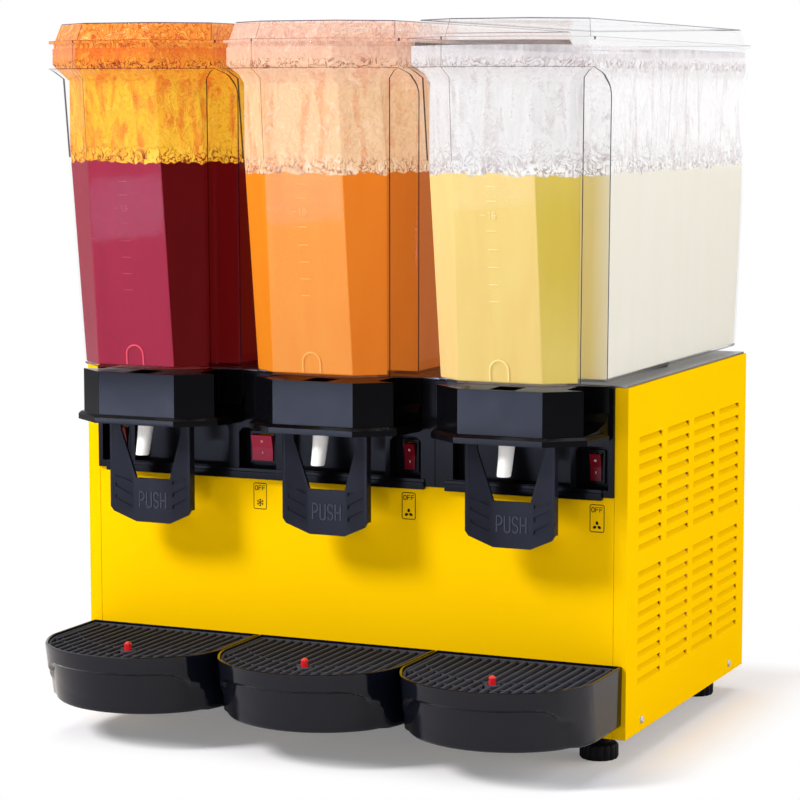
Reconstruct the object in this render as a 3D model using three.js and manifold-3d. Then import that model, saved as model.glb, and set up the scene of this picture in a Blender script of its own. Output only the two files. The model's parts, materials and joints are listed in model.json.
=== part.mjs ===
// Refrigerated counter-top drink dispenser with three clear bowls, push-lever taps and drip trays.
// Millimetres, +Z up, the taps face -Y. The model is drawn with its origin at the foot of the front
// panel, centred, and the last lines move it so that it stands on Z = 0 around its own middle.
import * as THREE from 'three';
import { mergeVertices } from 'three/addons/utils/BufferGeometryUtils.js';
import Module from 'manifold-3d';

const wasm = await Module();
wasm.setup();

// Driving sizes of the housing and its bays
const bodyWidth = 540;
const bodyDepth = 355;
const bodyHeight = 311.5;
const endMargin = 3;
const footHeight = 25;
const sheet = 1.2;
const foldWidth = 12;

// Fits: the clearance between touching pieces, and how far a cutting tool runs past a face
const gap = 0.3;
const overrun = 6;

// Facets of round forms
const largeSides = 12;
const smallSides = 8;
const pipeSides = 6;
const bendTensionShare = 0.25;
const cornerSteps = 2;
const archSteps = 3;
const bowSteps = 8;

// Bays: one bowl, tap and tray each, side by side across the housing
const bayNames = ['left', 'middle', 'right'];
const bayPitch = (bodyWidth - 2 * endMargin) / bayNames.length;
const bayHalf = bayPitch / 2;
const bays = bayNames.map((name, index) => ({ name, x: (index - (bayNames.length - 1) / 2) * bayPitch }));
const doubleUnitCentre = -bayHalf;
const openHalf = bodyWidth / 2 - foldWidth;
const panFloor = sheet + gap + sheet;

// Clear bowl: its outline at the floor, at the shoulder and at the rim. The sizes that end in In lie
// inside the bay's edge, rearOut lies behind the housing, the rest run forwards from the front panel.
const floorSizes = { facetIn: 49.8, towerIn: 20.8, front: 71, corner: 48, boxIn: 12.5, boxFront: 5,
  rearOut: 21 };
const shoulderSizes = { facetIn: 52.2, towerIn: 12.3, front: 96.7, corner: 67, boxIn: 4.8, boxFront: 22,
  rearOut: 28.5 };
const rimSizes = { facetIn: 50.6, towerIn: 3.6, front: 110.5, corner: 73.7, boxIn: 3.6, boxFront: 22,
  rearOut: 29.3 };
const bowlPlan = ({ facetIn, towerIn, boxIn, rearOut, ...depths }) => ({
  facet: bayHalf - facetIn,
  tower: bayHalf - towerIn,
  box: bayHalf - boxIn,
  rear: bodyDepth + rearOut,
  ...depths,
});
const floorPlan = bowlPlan(floorSizes);
const shoulderPlan = bowlPlan(shoulderSizes);
const rimPlan = bowlPlan(rimSizes);
const bowlLift = 5.5;
const bowlHeight = 293;
const bowlWall = 3;
const rimBandHeight = 22.5;
const flareHeight = 8.5;
const bowlEdge = 2.5;
const bowlRearRadius = 12;
const grooveDepth = 18;
const grooveRadius = 7;
const grooveDraft = 2;
const grooveArchHeight = 24.5;
const grooveArchDrop = 22.5;
const bowlFloor = bodyHeight + bowlLift;
const bowlTop = bowlFloor + bowlHeight;
const rimBottom = bowlTop - rimBandHeight;
const shoulder = rimBottom - flareHeight;

// Lid
const lidThickness = 2.5;
const lidFlange = 2.7;
const lidRise = 15.5;
const lidFootInset = 5;
const lidTopInset = 8;
const lidFrontExtra = 5;
const lidSkirtDepth = 9;

// Tap: bowl outlet, silicone nozzle, collar and push lever
const outlet = { y: 50.5, bore: 5.5, radius: 8, length: 21, archRadius: 8.5, archHeight: 22, archWall: 2 };
const nozzle = { top: 11, sleeveRadius: 10.5, sleeveLength: 20, sleeveFit: 0.4, neckDrop: 23, bore: 4.6,
  length: 69, lean: 10, leanPower: 1.5, neckRadius: 7.8, midRadius: 7, tipRadius: 6.2, tipRound: 1.2 };
const collar = { top: 4, height: 47, wall: 3, roof: 3, flange: 5, flangeHeight: 7.5, flangeBevel: 2.5,
  flangeStop: 14, scoopHeight: 17, hatchHalf: 12 };
const collarTop = bowlFloor - collar.top;
const collarBottom = collarTop - collar.height;

// Push lever: half its width, then its heights as drops below the collar's lower edge
const leverSideSpace = 8.3;
const leverHalf = floorPlan.tower - grooveDepth - leverSideSpace;
const leverDrop = { bottom: 94.6, plateTop: 47, armFoot: 9, top: -24 };
const leverWing = 24.5;
const lever = { bottom: collarBottom - leverDrop.bottom, top: collarBottom - leverDrop.top,
  plateTop: collarBottom - leverDrop.plateTop, armFoot: collarBottom - leverDrop.armFoot,
  half: leverHalf, facet: leverHalf - leverWing, front: 41.5, cup: 5.3, thickness: 3, chamfer: 11,
  cornerRound: 3, armWidth: 10.4, returnDepth: 9, returnWall: 2.5, pinRadius: 3, pinDrop: 6, pinLength: 4.6,
  earFit: 1.2, earWall: 4, earHalf: 8, pinchRadius: 3, pinchDrop: 18 };
const leverRib = { count: 3, rise: 13.6, pitch: 11.3, height: 3.6, fromFacet: 3.6, fromEdge: 4.9,
  slopeShare: 0.5, depth: 1.2 };

// Control fascia, its recesses and rocker switches; the heights count from the fascia's lower edge
const fasciaDrop = 96.5;
const fasciaBottom = bodyHeight - fasciaDrop;
const fasciaTop = bodyHeight - gap;
const fascia = { proud: 3, floor: 12, back: 15, lipDrop: 2.5, lipStep: 6.5, lipRise: 7, lipProud: 6,
  lipStepProud: 4.5, edge: 12, lipEnd: 10 };
const rocker = { fromEdge: 29, width: 10, height: 24, wideWidth: 21, bezel: 3, bezelProud: 3, fit: 0.4,
  pocketHalf: 15, widePocketHalf: 19, pocketHeight: 38, rise: 25.5, depth: 12, crown: 3.2, valley: 1.4,
  tiltDeg: 8 };
const rockerOffset = bayHalf - rocker.fromEdge;
const rockerZ = fasciaBottom + rocker.rise;
const recess = { rise: 8, drop: 49.5, fromEdge: 17.5, postWidth: 5, corner: 4 };
const recessWide = bayHalf - recess.fromEdge;
const recessNarrow = rockerOffset - rocker.pocketHalf - recess.postWidth;

// Drip tray, grille and float
const tray = { rim: 66.3, bottom: 13.5, side: 88, front: 149.3, sideFoot: 77, frontFoot: 139.7, seam: 1,
  footInset: 0.6, edge: 3, wall: 4, floor: 3.5, ledgeDrop: 7.3, ledge: 1.8, tongueHalf: 10,
  tongueFromEdge: 33.5, tongueThickness: 2.5, tongueLength: 7, tongueZ: 45 };
const trayHalf = bayHalf - tray.seam / 2;
const tongueOffset = trayHalf - tray.tongueFromEdge;
const trayGrip = { fromEdge: 24.5, top: 52, radius: 22, depth: 1.8 };
const grille = { barCount: 19, barWidth: 3, frameWidth: 2.6, drop: 2 };
const float = { x: 8, y: 105, capRadius: 3.4, capHeight: 9, proud: 5.5, stemRadius: 2.2, discRadius: 10,
  discHeight: 7, guideWall: 3, guideFit: 0.7 };

// Levelling feet
const foot = { fromSide: 35, front: 30, fromRear: 41, knobRadius: 17.5, knobHeight: 12, lobeCount: 10,
  lobeDepth: 2.2, domeHeight: 4, domeRadius: 12, stemRadius: 5, stemTop: 14, stemFit: 0.4 };

// Louvres of the side panels and slots of the rear panel; the rows fill the height that they have
const louvre = { columns: 4, front: 30.5, rear: 23.5, between: 15, drop: 46.2, lowest: 43, rowPitch: 12,
  height: 5.6, depth: 4.6, root: 1.2 };
const louvreTop = bodyHeight - louvre.drop;
const louvreRows = 1 + Math.floor((louvreTop - louvre.height - louvre.lowest) / louvre.rowPitch);
const skippedRow = Math.floor(louvreRows / 2);
const louvreLength = (bodyDepth - louvre.front - louvre.rear + louvre.between) / louvre.columns
  - louvre.between;
const rearSlot = { columns: 2, rows: 5, between: 50, side: 83, drop: 61.5, rowPitch: 25, height: 8 };
const rearSlotLength = openHalf - rearSlot.side - rearSlot.between / 2;

// Evaporator domes over the deck, bowl seals, mixer motors and agitators
const domeSideSpace = 22.5;
const domeRearSpace = 165;
const dome = { y: bodyDepth - domeRearSpace, radius: floorPlan.box - domeSideSpace, height: 48, round: 6,
  wall: 1.5, pinRadius: 3.5, pinHeight: 16 };
const deck = { thickness: 1.5, inset: 2 };
const seal = { slack: 1.2, width: 8.8, fit: 0.3 };
const motor = { driveRadius: 34, driveSpace: 4, driveFit: 2, flangeLap: 8, flangeThickness: 4,
  bodyRadius: 30, bodyHeight: 50 };
const deckBore = motor.driveRadius + motor.driveSpace;
const motorBottom = bodyHeight - motor.flangeThickness - motor.bodyHeight;
const agitator = { hubRadius: 8, boreFit: 0.4, hubHeight: 18, bladeInset: 6, bladeHeight: 14,
  bladeThickness: 2.2, bladePitchDeg: 35, bladeCount: 2, capWall: 3, standoff: 1.5 };
const deckTop = bodyHeight + gap + deck.thickness;
const domeBase = deckTop + gap;
const domeTop = domeBase + dome.height;

// Cooling set inside the housing
const pan = { wall: 15 };
const compressor = { fromSide: 105, fromRear: 120, radius: 62, height: 150, shoulder: 24, plateHalf: 72,
  plate: 3, lift: 8, portRadius: 4, portLength: 16, portDrop: 48, footRadius: 7, footInset: 10 };
const condenser = { fromSide: 38, thickness: 26, front: 45, rearSpace: 60, headroom: 34.5, finCount: 8,
  finShare: 0.45, tubeInset: 35, bendRadius: 4, stub: 14 };
const condenserX = bodyWidth / 2 - condenser.fromSide;
const condenserRear = bodyDepth - condenser.rearSpace;
const fan = { standOff: 27, roomBelow: 19.3, roomAbove: 19.5, ringWall: 6, bladeSpace: 6, ringDepth: 16,
  plate: 2, hubRadius: 20, hubDepth: 12, bladeWidth: 30, bladeThickness: 1.8, bladeCount: 5,
  bladePitchDeg: 24, rootShare: 0.75, motorRadius: 26, motorLength: 42, strutWidth: 10, strutDepth: 4,
  shaftRadius: 3, hubFit: 2 };
const fanX = condenserX - fan.standOff;
const fanY = (condenser.front + condenserRear) / 2;
const fanHalf = (motorBottom - fan.roomAbove - panFloor - fan.roomBelow) / 2;
const fanZ = panFloor + fan.roomBelow + fanHalf;
const fanRing = fanHalf - fan.strutWidth;
const fanOpening = fanRing - fan.ringWall;
const thermostat = { fromCooling: 69, y: 60, width: 50, depth: 26, height: 36, spindleRadius: 3,
  spindleLength: 12 };
const gland = { fromSide: 70, z: 40, radius: 9, nutSides: 6, bore: 4, nutHeight: 8, domeLength: 12,
  stemRadius: 6.5, stemLength: 8 };
const glandX = -bodyWidth / 2 + gland.fromSide;

// Finishes seen in the photograph
const finish = (color, roughness, metalness, opacity = 1) =>
  new THREE.MeshStandardMaterial({ color, roughness, metalness, opacity, transparent: opacity < 1 });
const yellowPaint = () => finish(0xffc70d, 0.35, 0.0);
const blackPlastic = () => finish(0x15171c, 0.35, 0.0);
const satinBlack = () => finish(0x1c1f26, 0.5, 0.0);
const clearPlastic = () => finish(0xf2f4f6, 0.05, 0.0, 0.3);
const stainless = () => finish(0xc4c7ca, 0.25, 1.0);
const zincSteel = () => finish(0x9ea2a6, 0.45, 1.0);
const whiteSilicone = () => finish(0xf1f1ee, 0.4, 0.0);
const redPlastic = () => finish(0xc4122a, 0.2, 0.0);
const darkRubber = () => finish(0x111111, 0.8, 0.0);

// Solids: a closed geometry goes in, its shared vertices are welded and slivers dropped
function solid(geometry) {
  for (const name of Object.keys(geometry.attributes)) {
    if (name !== 'position') geometry.deleteAttribute(name);
  }
  const welded = mergeVertices(geometry);
  const corners = welded.index.array;
  const kept = [];
  for (let i = 0; i < corners.length; i += 3) {
    const [a, b, c] = [corners[i], corners[i + 1], corners[i + 2]];
    if (a !== b && b !== c && c !== a) kept.push(a, b, c);
  }
  const vertProperties = new Float32Array(welded.attributes.position.array);
  return new wasm.Manifold(new wasm.Mesh({ numProp: 3, vertProperties, triVerts: new Uint32Array(kept) }));
}

function geometryOf(body) {
  const mesh = body.getMesh();
  const geometry = new THREE.BufferGeometry();
  geometry.setAttribute('position', new THREE.BufferAttribute(mesh.vertProperties, 3));
  geometry.setIndex(new THREE.BufferAttribute(mesh.triVerts, 1));
  return geometry;
}

const joined = (first, ...rest) => rest.reduce((sum, next) => sum.add(next), first);
const cut = (body, ...tools) => tools.reduce((sum, tool) => sum.subtract(tool), body);

function box(x0, x1, y0, y1, z0, z1) {
  const geometry = new THREE.BoxGeometry(x1 - x0, y1 - y0, z1 - z0);
  geometry.translate((x0 + x1) / 2, (y0 + y1) / 2, (z0 + z1) / 2);
  return solid(geometry);
}

function extruded(points, depth) {
  const shape = new THREE.Shape(points.map(([x, y]) => new THREE.Vector2(x, y)));
  return new THREE.ExtrudeGeometry(shape, { depth, bevelEnabled: false });
}

// A prism upwards along Z from an outline in X and Y
function prismZ(points, z0, z1) {
  const geometry = extruded(points, z1 - z0);
  geometry.translate(0, 0, z0);
  return solid(geometry);
}

// A prism along X from an outline in Y and Z
function prismX(points, x0, x1) {
  const geometry = extruded(points, x1 - x0);
  const axes = new THREE.Matrix4().makeBasis(
    new THREE.Vector3(0, 1, 0), new THREE.Vector3(0, 0, 1), new THREE.Vector3(1, 0, 0));
  geometry.applyMatrix4(axes);
  geometry.translate(x0, 0, 0);
  return solid(geometry);
}

// A prism along Y from an outline in X and Z
function prismY(points, y0, y1) {
  const geometry = extruded(points, y1 - y0);
  geometry.rotateX(Math.PI / 2);
  geometry.translate(0, y1, 0);
  return solid(geometry);
}

// A round bar along one axis, from its low to its high end
function bar(axis, radius, low, high, a, b, sides) {
  const geometry = new THREE.CylinderGeometry(radius, radius, high - low, sides);
  const middle = (low + high) / 2;
  if (axis === 'z') geometry.rotateX(Math.PI / 2).translate(a, b, middle);
  if (axis === 'x') geometry.rotateZ(Math.PI / 2).translate(middle, a, b);
  if (axis === 'y') geometry.translate(a, middle, b);
  return solid(geometry);
}

// A turned form about a vertical axis through x, y; the profile lists radius and height
function turned(profile, x, y, sides) {
  const points = profile.map(([radius, z]) => new THREE.Vector2(radius, z));
  const geometry = new THREE.LatheGeometry(points, sides);
  geometry.rotateX(Math.PI / 2).translate(x, y, 0);
  return solid(geometry);
}

// A skin through outlines of one point count at rising heights, closed by flat ends
function loft(sections) {
  const size = sections[0].points.length;
  const positions = sections.flatMap(({ z, points }) => points.flatMap(([x, y]) => [x, y, z]));
  const faces = THREE.ShapeUtils.triangulateShape(
    sections[0].points.map(([x, y]) => new THREE.Vector2(x, y)), []);
  const last = (sections.length - 1) * size;
  const index = [];
  for (const [a, b, c] of faces) index.push(a, c, b, last + a, last + b, last + c);
  for (let level = 0; level < sections.length - 1; level += 1) {
    const low = level * size;
    const high = low + size;
    for (let i = 0; i < size; i += 1) {
      const next = (i + 1) % size;
      index.push(low + i, low + next, high + next, low + i, high + next, high + i);
    }
  }
  const geometry = new THREE.BufferGeometry();
  geometry.setAttribute('position', new THREE.Float32BufferAttribute(positions, 3));
  geometry.setIndex(index);
  return solid(geometry);
}

// Moves each side of an outline inwards by a distance, and outwards where it is negative
function inset(points, distance) {
  return points.map((point, i) => {
    const before = points[(i + points.length - 1) % points.length];
    const after = points[(i + 1) % points.length];
    const first = new THREE.Vector2(point[0] - before[0], point[1] - before[1]).normalize();
    const second = new THREE.Vector2(after[0] - point[0], after[1] - point[1]).normalize();
    const normal = new THREE.Vector2(-first.y - second.y, first.x + second.x);
    const share = distance / (1 + first.dot(second));
    return [point[0] + normal.x * share, point[1] + normal.y * share];
  });
}

// Points of a round or elliptic arc, both ends included
function arc(x, y, radiusX, radiusY, fromDeg, toDeg, steps) {
  return Array.from({ length: steps + 1 }, (_, i) => {
    const angle = THREE.MathUtils.degToRad(THREE.MathUtils.lerp(fromDeg, toDeg, i / steps));
    return [x + radiusX * Math.cos(angle), y + radiusY * Math.sin(angle)];
  });
}

const mirrored = (points) => points.map(([x, y]) => [-x, y]).reverse();
const circle = (x, y, radius, sides) => arc(x, y, radius, radius, 0, 360, sides).slice(0, sides);

// Bowl outline
function bowlPlanAt(z) {
  const share = (z - bowlFloor) / (shoulder - bowlFloor);
  const entries = Object.keys(floorPlan).map((key) =>
    [key, THREE.MathUtils.lerp(floorPlan[key], shoulderPlan[key], share)]);
  return Object.fromEntries(entries);
}

function bowlOutline(plan) {
  const half = [
    [plan.facet, -plan.front],
    [plan.tower, -plan.corner],
    [plan.box, -plan.boxFront],
    ...arc(plan.box - bowlRearRadius, plan.rear - bowlRearRadius, bowlRearRadius, bowlRearRadius, 0, 90,
      cornerSteps),
  ];
  return [...half, ...mirrored(half)];
}

// Grip groove between the faceted tower and the box behind it, on the +X side
function grooveOutline(plan) {
  const floor = plan.tower - grooveDepth;
  const front = -plan.corner + grooveDraft;
  const rear = -plan.boxFront - grooveDraft;
  const near = arc(floor + grooveRadius, front + grooveRadius, grooveRadius, grooveRadius, 180, 270,
    cornerSteps);
  const far = arc(floor + grooveRadius, rear - grooveRadius, grooveRadius, grooveRadius, 90, 180,
    cornerSteps);
  return [
    [plan.box + overrun, -plan.corner],
    [plan.box + overrun, -plan.boxFront],
    [plan.box, -plan.boxFront],
    ...far,
    ...near,
    [plan.tower, -plan.corner],
  ];
}

// A body mirrored from the +X to the -X side
function flipX(body) {
  const geometry = geometryOf(body).toNonIndexed();
  geometry.scale(-1, 1, 1);
  const corners = geometry.attributes.position;
  const turnedOver = [];
  for (let i = 0; i < corners.count; i += 3) {
    for (const k of [i, i + 2, i + 1]) turnedOver.push(corners.getX(k), corners.getY(k), corners.getZ(k));
  }
  const mirror = new THREE.BufferGeometry();
  mirror.setAttribute('position', new THREE.Float32BufferAttribute(turnedOver, 3));
  return solid(mirror);
}

// The groove runs out under the rim in a rounded arch
function bowlGroove(grow) {
  const low = bowlFloor - overrun - grow;
  const high = rimBottom + overrun;
  const section = (z) => ({ z, points: inset(grooveOutline(bowlPlanAt(z)), -grow) });
  const topPlan = bowlPlanAt(shoulder);
  const rear = -topPlan.boxFront + grow;
  const front = -topPlan.corner - grow;
  const spring = rimBottom - grooveArchHeight;
  const profile = [
    [front - overrun, low],
    [rear + grooveArchDrop + overrun, low],
    [rear + grooveArchDrop + overrun, shoulder - grooveArchHeight - grooveArchDrop],
    ...arc(front, spring, rear - front, grooveArchHeight + grow, 0, 90, archSteps),
    [front - overrun, spring + grooveArchHeight + grow],
  ];
  const arch = prismX(profile, 0, bayPitch);
  const right = loft([section(low), section(high)]).intersect(arch);
  return right.add(flipX(right));
}

function outletArch() {
  const { archRadius, archHeight, archWall, bore } = outlet;
  const floor = bowlFloor + bowlWall / 2;
  const spring = bowlFloor + archHeight - archRadius;
  const archOf = (radius, low) =>
    [[radius, low], ...arc(0, spring, radius, radius, 0, 180, archSteps), [-radius, low]];
  const outside = archOf(archRadius, floor);
  const inside = archOf(archRadius - archWall, floor - overrun);
  const front = -floorPlan.front + bowlWall / 2;
  const back = -outlet.y - bore;
  return cut(prismY(outside, front, back), prismY(inside, front + bowlWall, back + overrun));
}

function bowlBody() {
  const outlineAt = (z, plan, d) => ({ z, points: inset(bowlOutline(plan), d) });
  const outside = loft([
    outlineAt(bowlFloor, bowlPlanAt(bowlFloor), bowlEdge),
    outlineAt(bowlFloor + bowlEdge, bowlPlanAt(bowlFloor + bowlEdge), 0),
    outlineAt(shoulder, bowlPlanAt(shoulder), 0),
    outlineAt(rimBottom, rimPlan, 0),
    outlineAt(bowlTop, rimPlan, 0),
  ]);
  const low = bowlFloor + bowlWall;
  const inside = loft([
    outlineAt(low, bowlPlanAt(low), bowlWall),
    outlineAt(shoulder, bowlPlanAt(shoulder), bowlWall),
    outlineAt(rimBottom, rimPlan, bowlWall),
    outlineAt(bowlTop + overrun, rimPlan, bowlWall),
  ]);
  const shell = cut(outside.subtract(bowlGroove(0)), inside.subtract(bowlGroove(bowlWall)));
  const spigot = bar('z', outlet.radius, bowlFloor - outlet.length, bowlFloor + bowlWall / 2, 0, -outlet.y,
    smallSides);
  const drill = bar('z', outlet.bore, bowlFloor - outlet.length - overrun, bowlFloor + bowlWall + overrun, 0,
    -outlet.y, smallSides);
  const throat = bar('z', dome.radius + seal.fit + bowlWall, bowlFloor - overrun,
    bowlFloor + bowlWall + overrun, 0, dome.y, largeSides);
  return cut(joined(shell, spigot, outletArch()), drill, throat);
}

// Lid: one skin from its ceiling down inside the skirt, then out over the flange to the raised top
function lidBody() {
  const rim = bowlOutline(rimPlan);
  const flangeLow = bowlTop + gap;
  const flangeHigh = flangeLow + lidFlange;
  const top = flangeHigh + lidRise;
  const skirtLow = bowlTop - lidSkirtDepth;
  const setBack = (points, extra) => points.map(([x, y]) => [x, y < -rimPlan.corner ? y + extra : y]);
  const crown = (thickness) => setBack(inset(rim, lidTopInset + thickness), lidFrontExtra);
  const skirt = inset(rim, bowlWall + gap);
  const skirtInside = inset(rim, bowlWall + gap + lidThickness);
  return loft([
    { z: top - lidThickness, points: crown(lidThickness) },
    { z: flangeHigh, points: skirtInside },
    { z: skirtLow, points: skirtInside },
    { z: skirtLow, points: skirt },
    { z: flangeLow, points: skirt },
    { z: flangeLow, points: rim },
    { z: flangeHigh, points: rim },
    { z: flangeHigh, points: inset(rim, lidFootInset) },
    { z: top, points: crown(0) },
  ]);
}

// Collar under the front of the bowl
function collarOutline() {
  const rear = -fascia.proud - gap;
  const half = [
    [floorPlan.facet, -floorPlan.front],
    [floorPlan.tower, -floorPlan.corner],
    [floorPlan.box, rear],
  ];
  return [...half, ...mirrored(half)];
}

function collarGroove(grow) {
  const outline = inset(grooveOutline(floorPlan), -grow);
  const low = collarBottom + collar.flangeHeight;
  const front = -floorPlan.corner - grow;
  const rear = -floorPlan.boxFront + grow;
  const scoop = arc(front, low + collar.scoopHeight, rear - front, collar.scoopHeight + grow, -90, 0,
    archSteps);
  const profile = [
    [front - overrun, low - grow],
    ...scoop,
    [rear + overrun, low + collar.scoopHeight],
    [rear + overrun, collarTop + overrun],
    [front - overrun, collarTop + overrun],
  ];
  const right = prismZ(outline, low - overrun, collarTop + overrun)
    .intersect(prismX(profile, 0, bayPitch));
  return right.add(flipX(right));
}

function collarBody() {
  const outline = collarOutline();
  const open = collar.wall + overrun;
  const isRear = (y) => y > -floorPlan.boxFront - open;
  const inside = inset(outline, collar.wall).map(([x, y]) => [x, isRear(y) ? y + open : y]);
  const flangeTop = collarBottom + collar.flangeHeight;
  const flangeCut = box(-bayPitch, bayPitch, -collar.flangeStop, overrun, collarBottom - overrun,
    flangeTop + gap);
  const flange = loft([
    { z: collarBottom, points: inset(outline, -collar.flange) },
    { z: flangeTop - collar.flangeBevel, points: inset(outline, -collar.flange) },
    { z: flangeTop, points: inset(outline, collar.flangeBevel - collar.flange) },
  ]).subtract(flangeCut);
  const shell = joined(prismZ(outline, collarBottom, collarTop).subtract(collarGroove(0)), flange);
  const hollow = prismZ(inside, collarBottom - overrun, collarTop - collar.roof).subtract(
    collarGroove(collar.wall));
  const hatch = box(-collar.hatchHalf, collar.hatchHalf, -floorPlan.front + collar.wall,
    -outlet.y + collar.hatchHalf, collarTop - collar.roof - overrun, collarTop + overrun);
  const pivotZ = lever.top - lever.pinDrop;
  const ears = [-1, 1].map((side) => {
    const near = side * (lever.half + lever.earFit);
    const far = near + side * lever.earWall;
    const x0 = Math.min(near, far);
    const x1 = Math.max(near, far);
    const y = -lever.front - lever.cup / 2;
    const plate = box(x0, x1, y - lever.earHalf, y + lever.earHalf, pivotZ - lever.earHalf,
      collarTop - collar.roof + gap);
    const eye = bar('x', lever.pinRadius + gap, x0 - overrun, x1 + overrun, y, pivotZ, smallSides);
    return plate.subtract(eye);
  });
  return joined(cut(shell, hollow, hatch), ...ears);
}

// Push lever: three facets that cup the glass, two arms and a pivot at the top
function leverPlan(offset, depth) {
  const front = [[-lever.half, -lever.front - lever.cup], [-lever.facet, -lever.front],
    [lever.facet, -lever.front], [lever.half, -lever.front - lever.cup]];
  const near = front.map(([x, y]) => [x, y + offset]);
  const far = front.map(([x, y]) => [x, y + offset + depth]).reverse();
  return [...near, ...far];
}

function leverBody() {
  const { bottom, top, plateTop, facet, half, chamfer, cornerRound, armWidth, armFoot } = lever;
  const side = [
    [facet, bottom],
    [half - cornerRound, bottom + chamfer - cornerRound / 2],
    [half, bottom + chamfer + cornerRound],
    [half, top],
    [half - armWidth, top],
    [half - armWidth, armFoot],
    [facet, plateTop],
  ];
  const outline = [...side, ...mirrored(side)];
  const pivotY = -lever.front - lever.cup / 2;
  const sheetStrip = prismZ(leverPlan(0, lever.thickness), bottom - overrun, top + overrun);
  const plate = sheetStrip.intersect(prismY(outline, -bodyDepth, bodyDepth));
  const ribStrip = prismZ(leverPlan(-overrun, overrun + leverRib.depth), bottom, top);
  const inner = facet + leverRib.fromFacet;
  const outer = half - leverRib.fromEdge;
  const ribs = [];
  for (let row = 0; row < leverRib.count; row += 1) {
    const low = bottom + leverRib.rise + row * leverRib.pitch;
    const rise = (outer - inner) * leverRib.slopeShare;
    const slot = [
      [inner, low],
      [outer, low + rise],
      [outer, low + rise + leverRib.height],
      [inner, low + leverRib.height],
    ];
    ribs.push(prismY(slot, -bodyDepth, 0), prismY(mirrored(slot), -bodyDepth, 0));
  }
  const slots = joined(...ribs).intersect(ribStrip);
  const returns = [-1, 1].map((s) => {
    const outerFace = s * half;
    const innerFace = s * (half - lever.returnWall);
    return box(Math.min(outerFace, innerFace), Math.max(outerFace, innerFace), -lever.front - lever.cup + gap,
      -lever.front - lever.cup + lever.returnDepth, bottom + chamfer + cornerRound, top);
  });
  const pins = [-1, 1].map((s) => {
    const root = half - lever.returnWall / 2;
    const from = s > 0 ? root : -half - lever.pinLength;
    return bar('x', lever.pinRadius, from, from + half + lever.pinLength - root, pivotY, top - lever.pinDrop,
      smallSides);
  });
  const pinchY = -outlet.y + nozzle.neckRadius + gap + lever.pinchRadius;
  const pinchEnd = half - lever.returnWall / 2;
  const pinch = bar('x', lever.pinchRadius, -pinchEnd, pinchEnd, pinchY, top - lever.pinchDrop, smallSides);
  return joined(plate.subtract(slots), ...returns, ...pins, pinch);
}

// Silicone nozzle: a sleeve over the bowl's outlet and a tube that leans forwards
function nozzleBody() {
  const top = bowlFloor - nozzle.top;
  const sleeveEnd = top - nozzle.sleeveLength;
  const tip = top - nozzle.length;
  const neck = top - nozzle.neckDrop;
  const knee = (neck + tip) / 2 + nozzle.tipRadius;
  const leanAt = (z) =>
    -outlet.y - nozzle.lean * Math.max(0, (neck - z) / (neck - tip)) ** nozzle.leanPower;
  const ring = (z, radius) => ({ z, points: circle(0, leanAt(z), radius, smallSides) });
  const outside = loft([
    ring(tip, nozzle.tipRadius - nozzle.tipRound),
    ring(tip + nozzle.tipRound, nozzle.tipRadius),
    ring(knee, nozzle.midRadius),
    ring(neck, nozzle.neckRadius),
    ring(sleeveEnd, nozzle.sleeveRadius),
    ring(top, nozzle.sleeveRadius),
  ]);
  const tube = loft([
    ring(tip - overrun, nozzle.bore),
    ring(knee, nozzle.bore),
    ring(sleeveEnd + gap, nozzle.bore),
  ]);
  const socket = loft([
    ring(sleeveEnd, outlet.radius + nozzle.sleeveFit),
    ring(top + overrun, outlet.radius + nozzle.sleeveFit),
  ]);
  return cut(outside, tube, socket);
}

// Drip tray outline: straight sides, then one shallow arc across the front
function trayOutline(half, side, front) {
  const bulge = front - side;
  const radius = (half * half + bulge * bulge) / (2 * bulge);
  const angle = THREE.MathUtils.radToDeg(Math.asin(half / radius));
  const points = arc(0, radius - front, radius, radius, -90 - angle, -90 + angle, bowSteps);
  return [...points, [half, -gap], [-half, -gap]];
}

function trayBody() {
  const topOutline = trayOutline(trayHalf, tray.side, tray.front);
  const footOutline = trayOutline(trayHalf - tray.footInset, tray.sideFoot, tray.frontFoot);
  const outside = loft([
    { z: tray.bottom, points: inset(footOutline, tray.edge) },
    { z: tray.bottom + tray.edge, points: footOutline },
    { z: tray.rim, points: topOutline },
  ]);
  const floor = tray.bottom + tray.floor;
  const ledge = tray.rim - tray.ledgeDrop;
  const inside = loft([
    { z: floor, points: inset(footOutline, tray.wall + tray.edge) },
    { z: tray.rim + overrun, points: inset(topOutline, tray.wall) },
  ]);
  const seat = prismZ(inset(topOutline, tray.wall - tray.ledge), ledge, tray.rim + overrun);
  const { top: gripTop, radius: gripRadius } = trayGrip;
  const gripHalf = trayHalf - trayGrip.fromEdge;
  const gripSide = [
    [gripHalf, tray.bottom - overrun],
    ...arc(gripHalf - gripRadius, gripTop - gripRadius, gripRadius, gripRadius, 0, 90, archSteps),
  ];
  const gripArch = prismY([...gripSide, ...mirrored(gripSide)], -tray.front - overrun, -tray.side);
  const core = loft([
    { z: tray.bottom - overrun, points: inset(footOutline, trayGrip.depth) },
    { z: tray.bottom + tray.edge, points: inset(footOutline, trayGrip.depth) },
    { z: tray.rim, points: inset(topOutline, trayGrip.depth) },
  ]);
  const tongues = [-1, 1].map((s) => {
    const x = s * tongueOffset;
    return box(x - tray.tongueHalf, x + tray.tongueHalf, -tray.wall / 2, tray.tongueLength, tray.tongueZ,
      tray.tongueZ + tray.tongueThickness);
  });
  return joined(cut(outside, gripArch.subtract(core), inside, seat), ...tongues);
}

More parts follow.
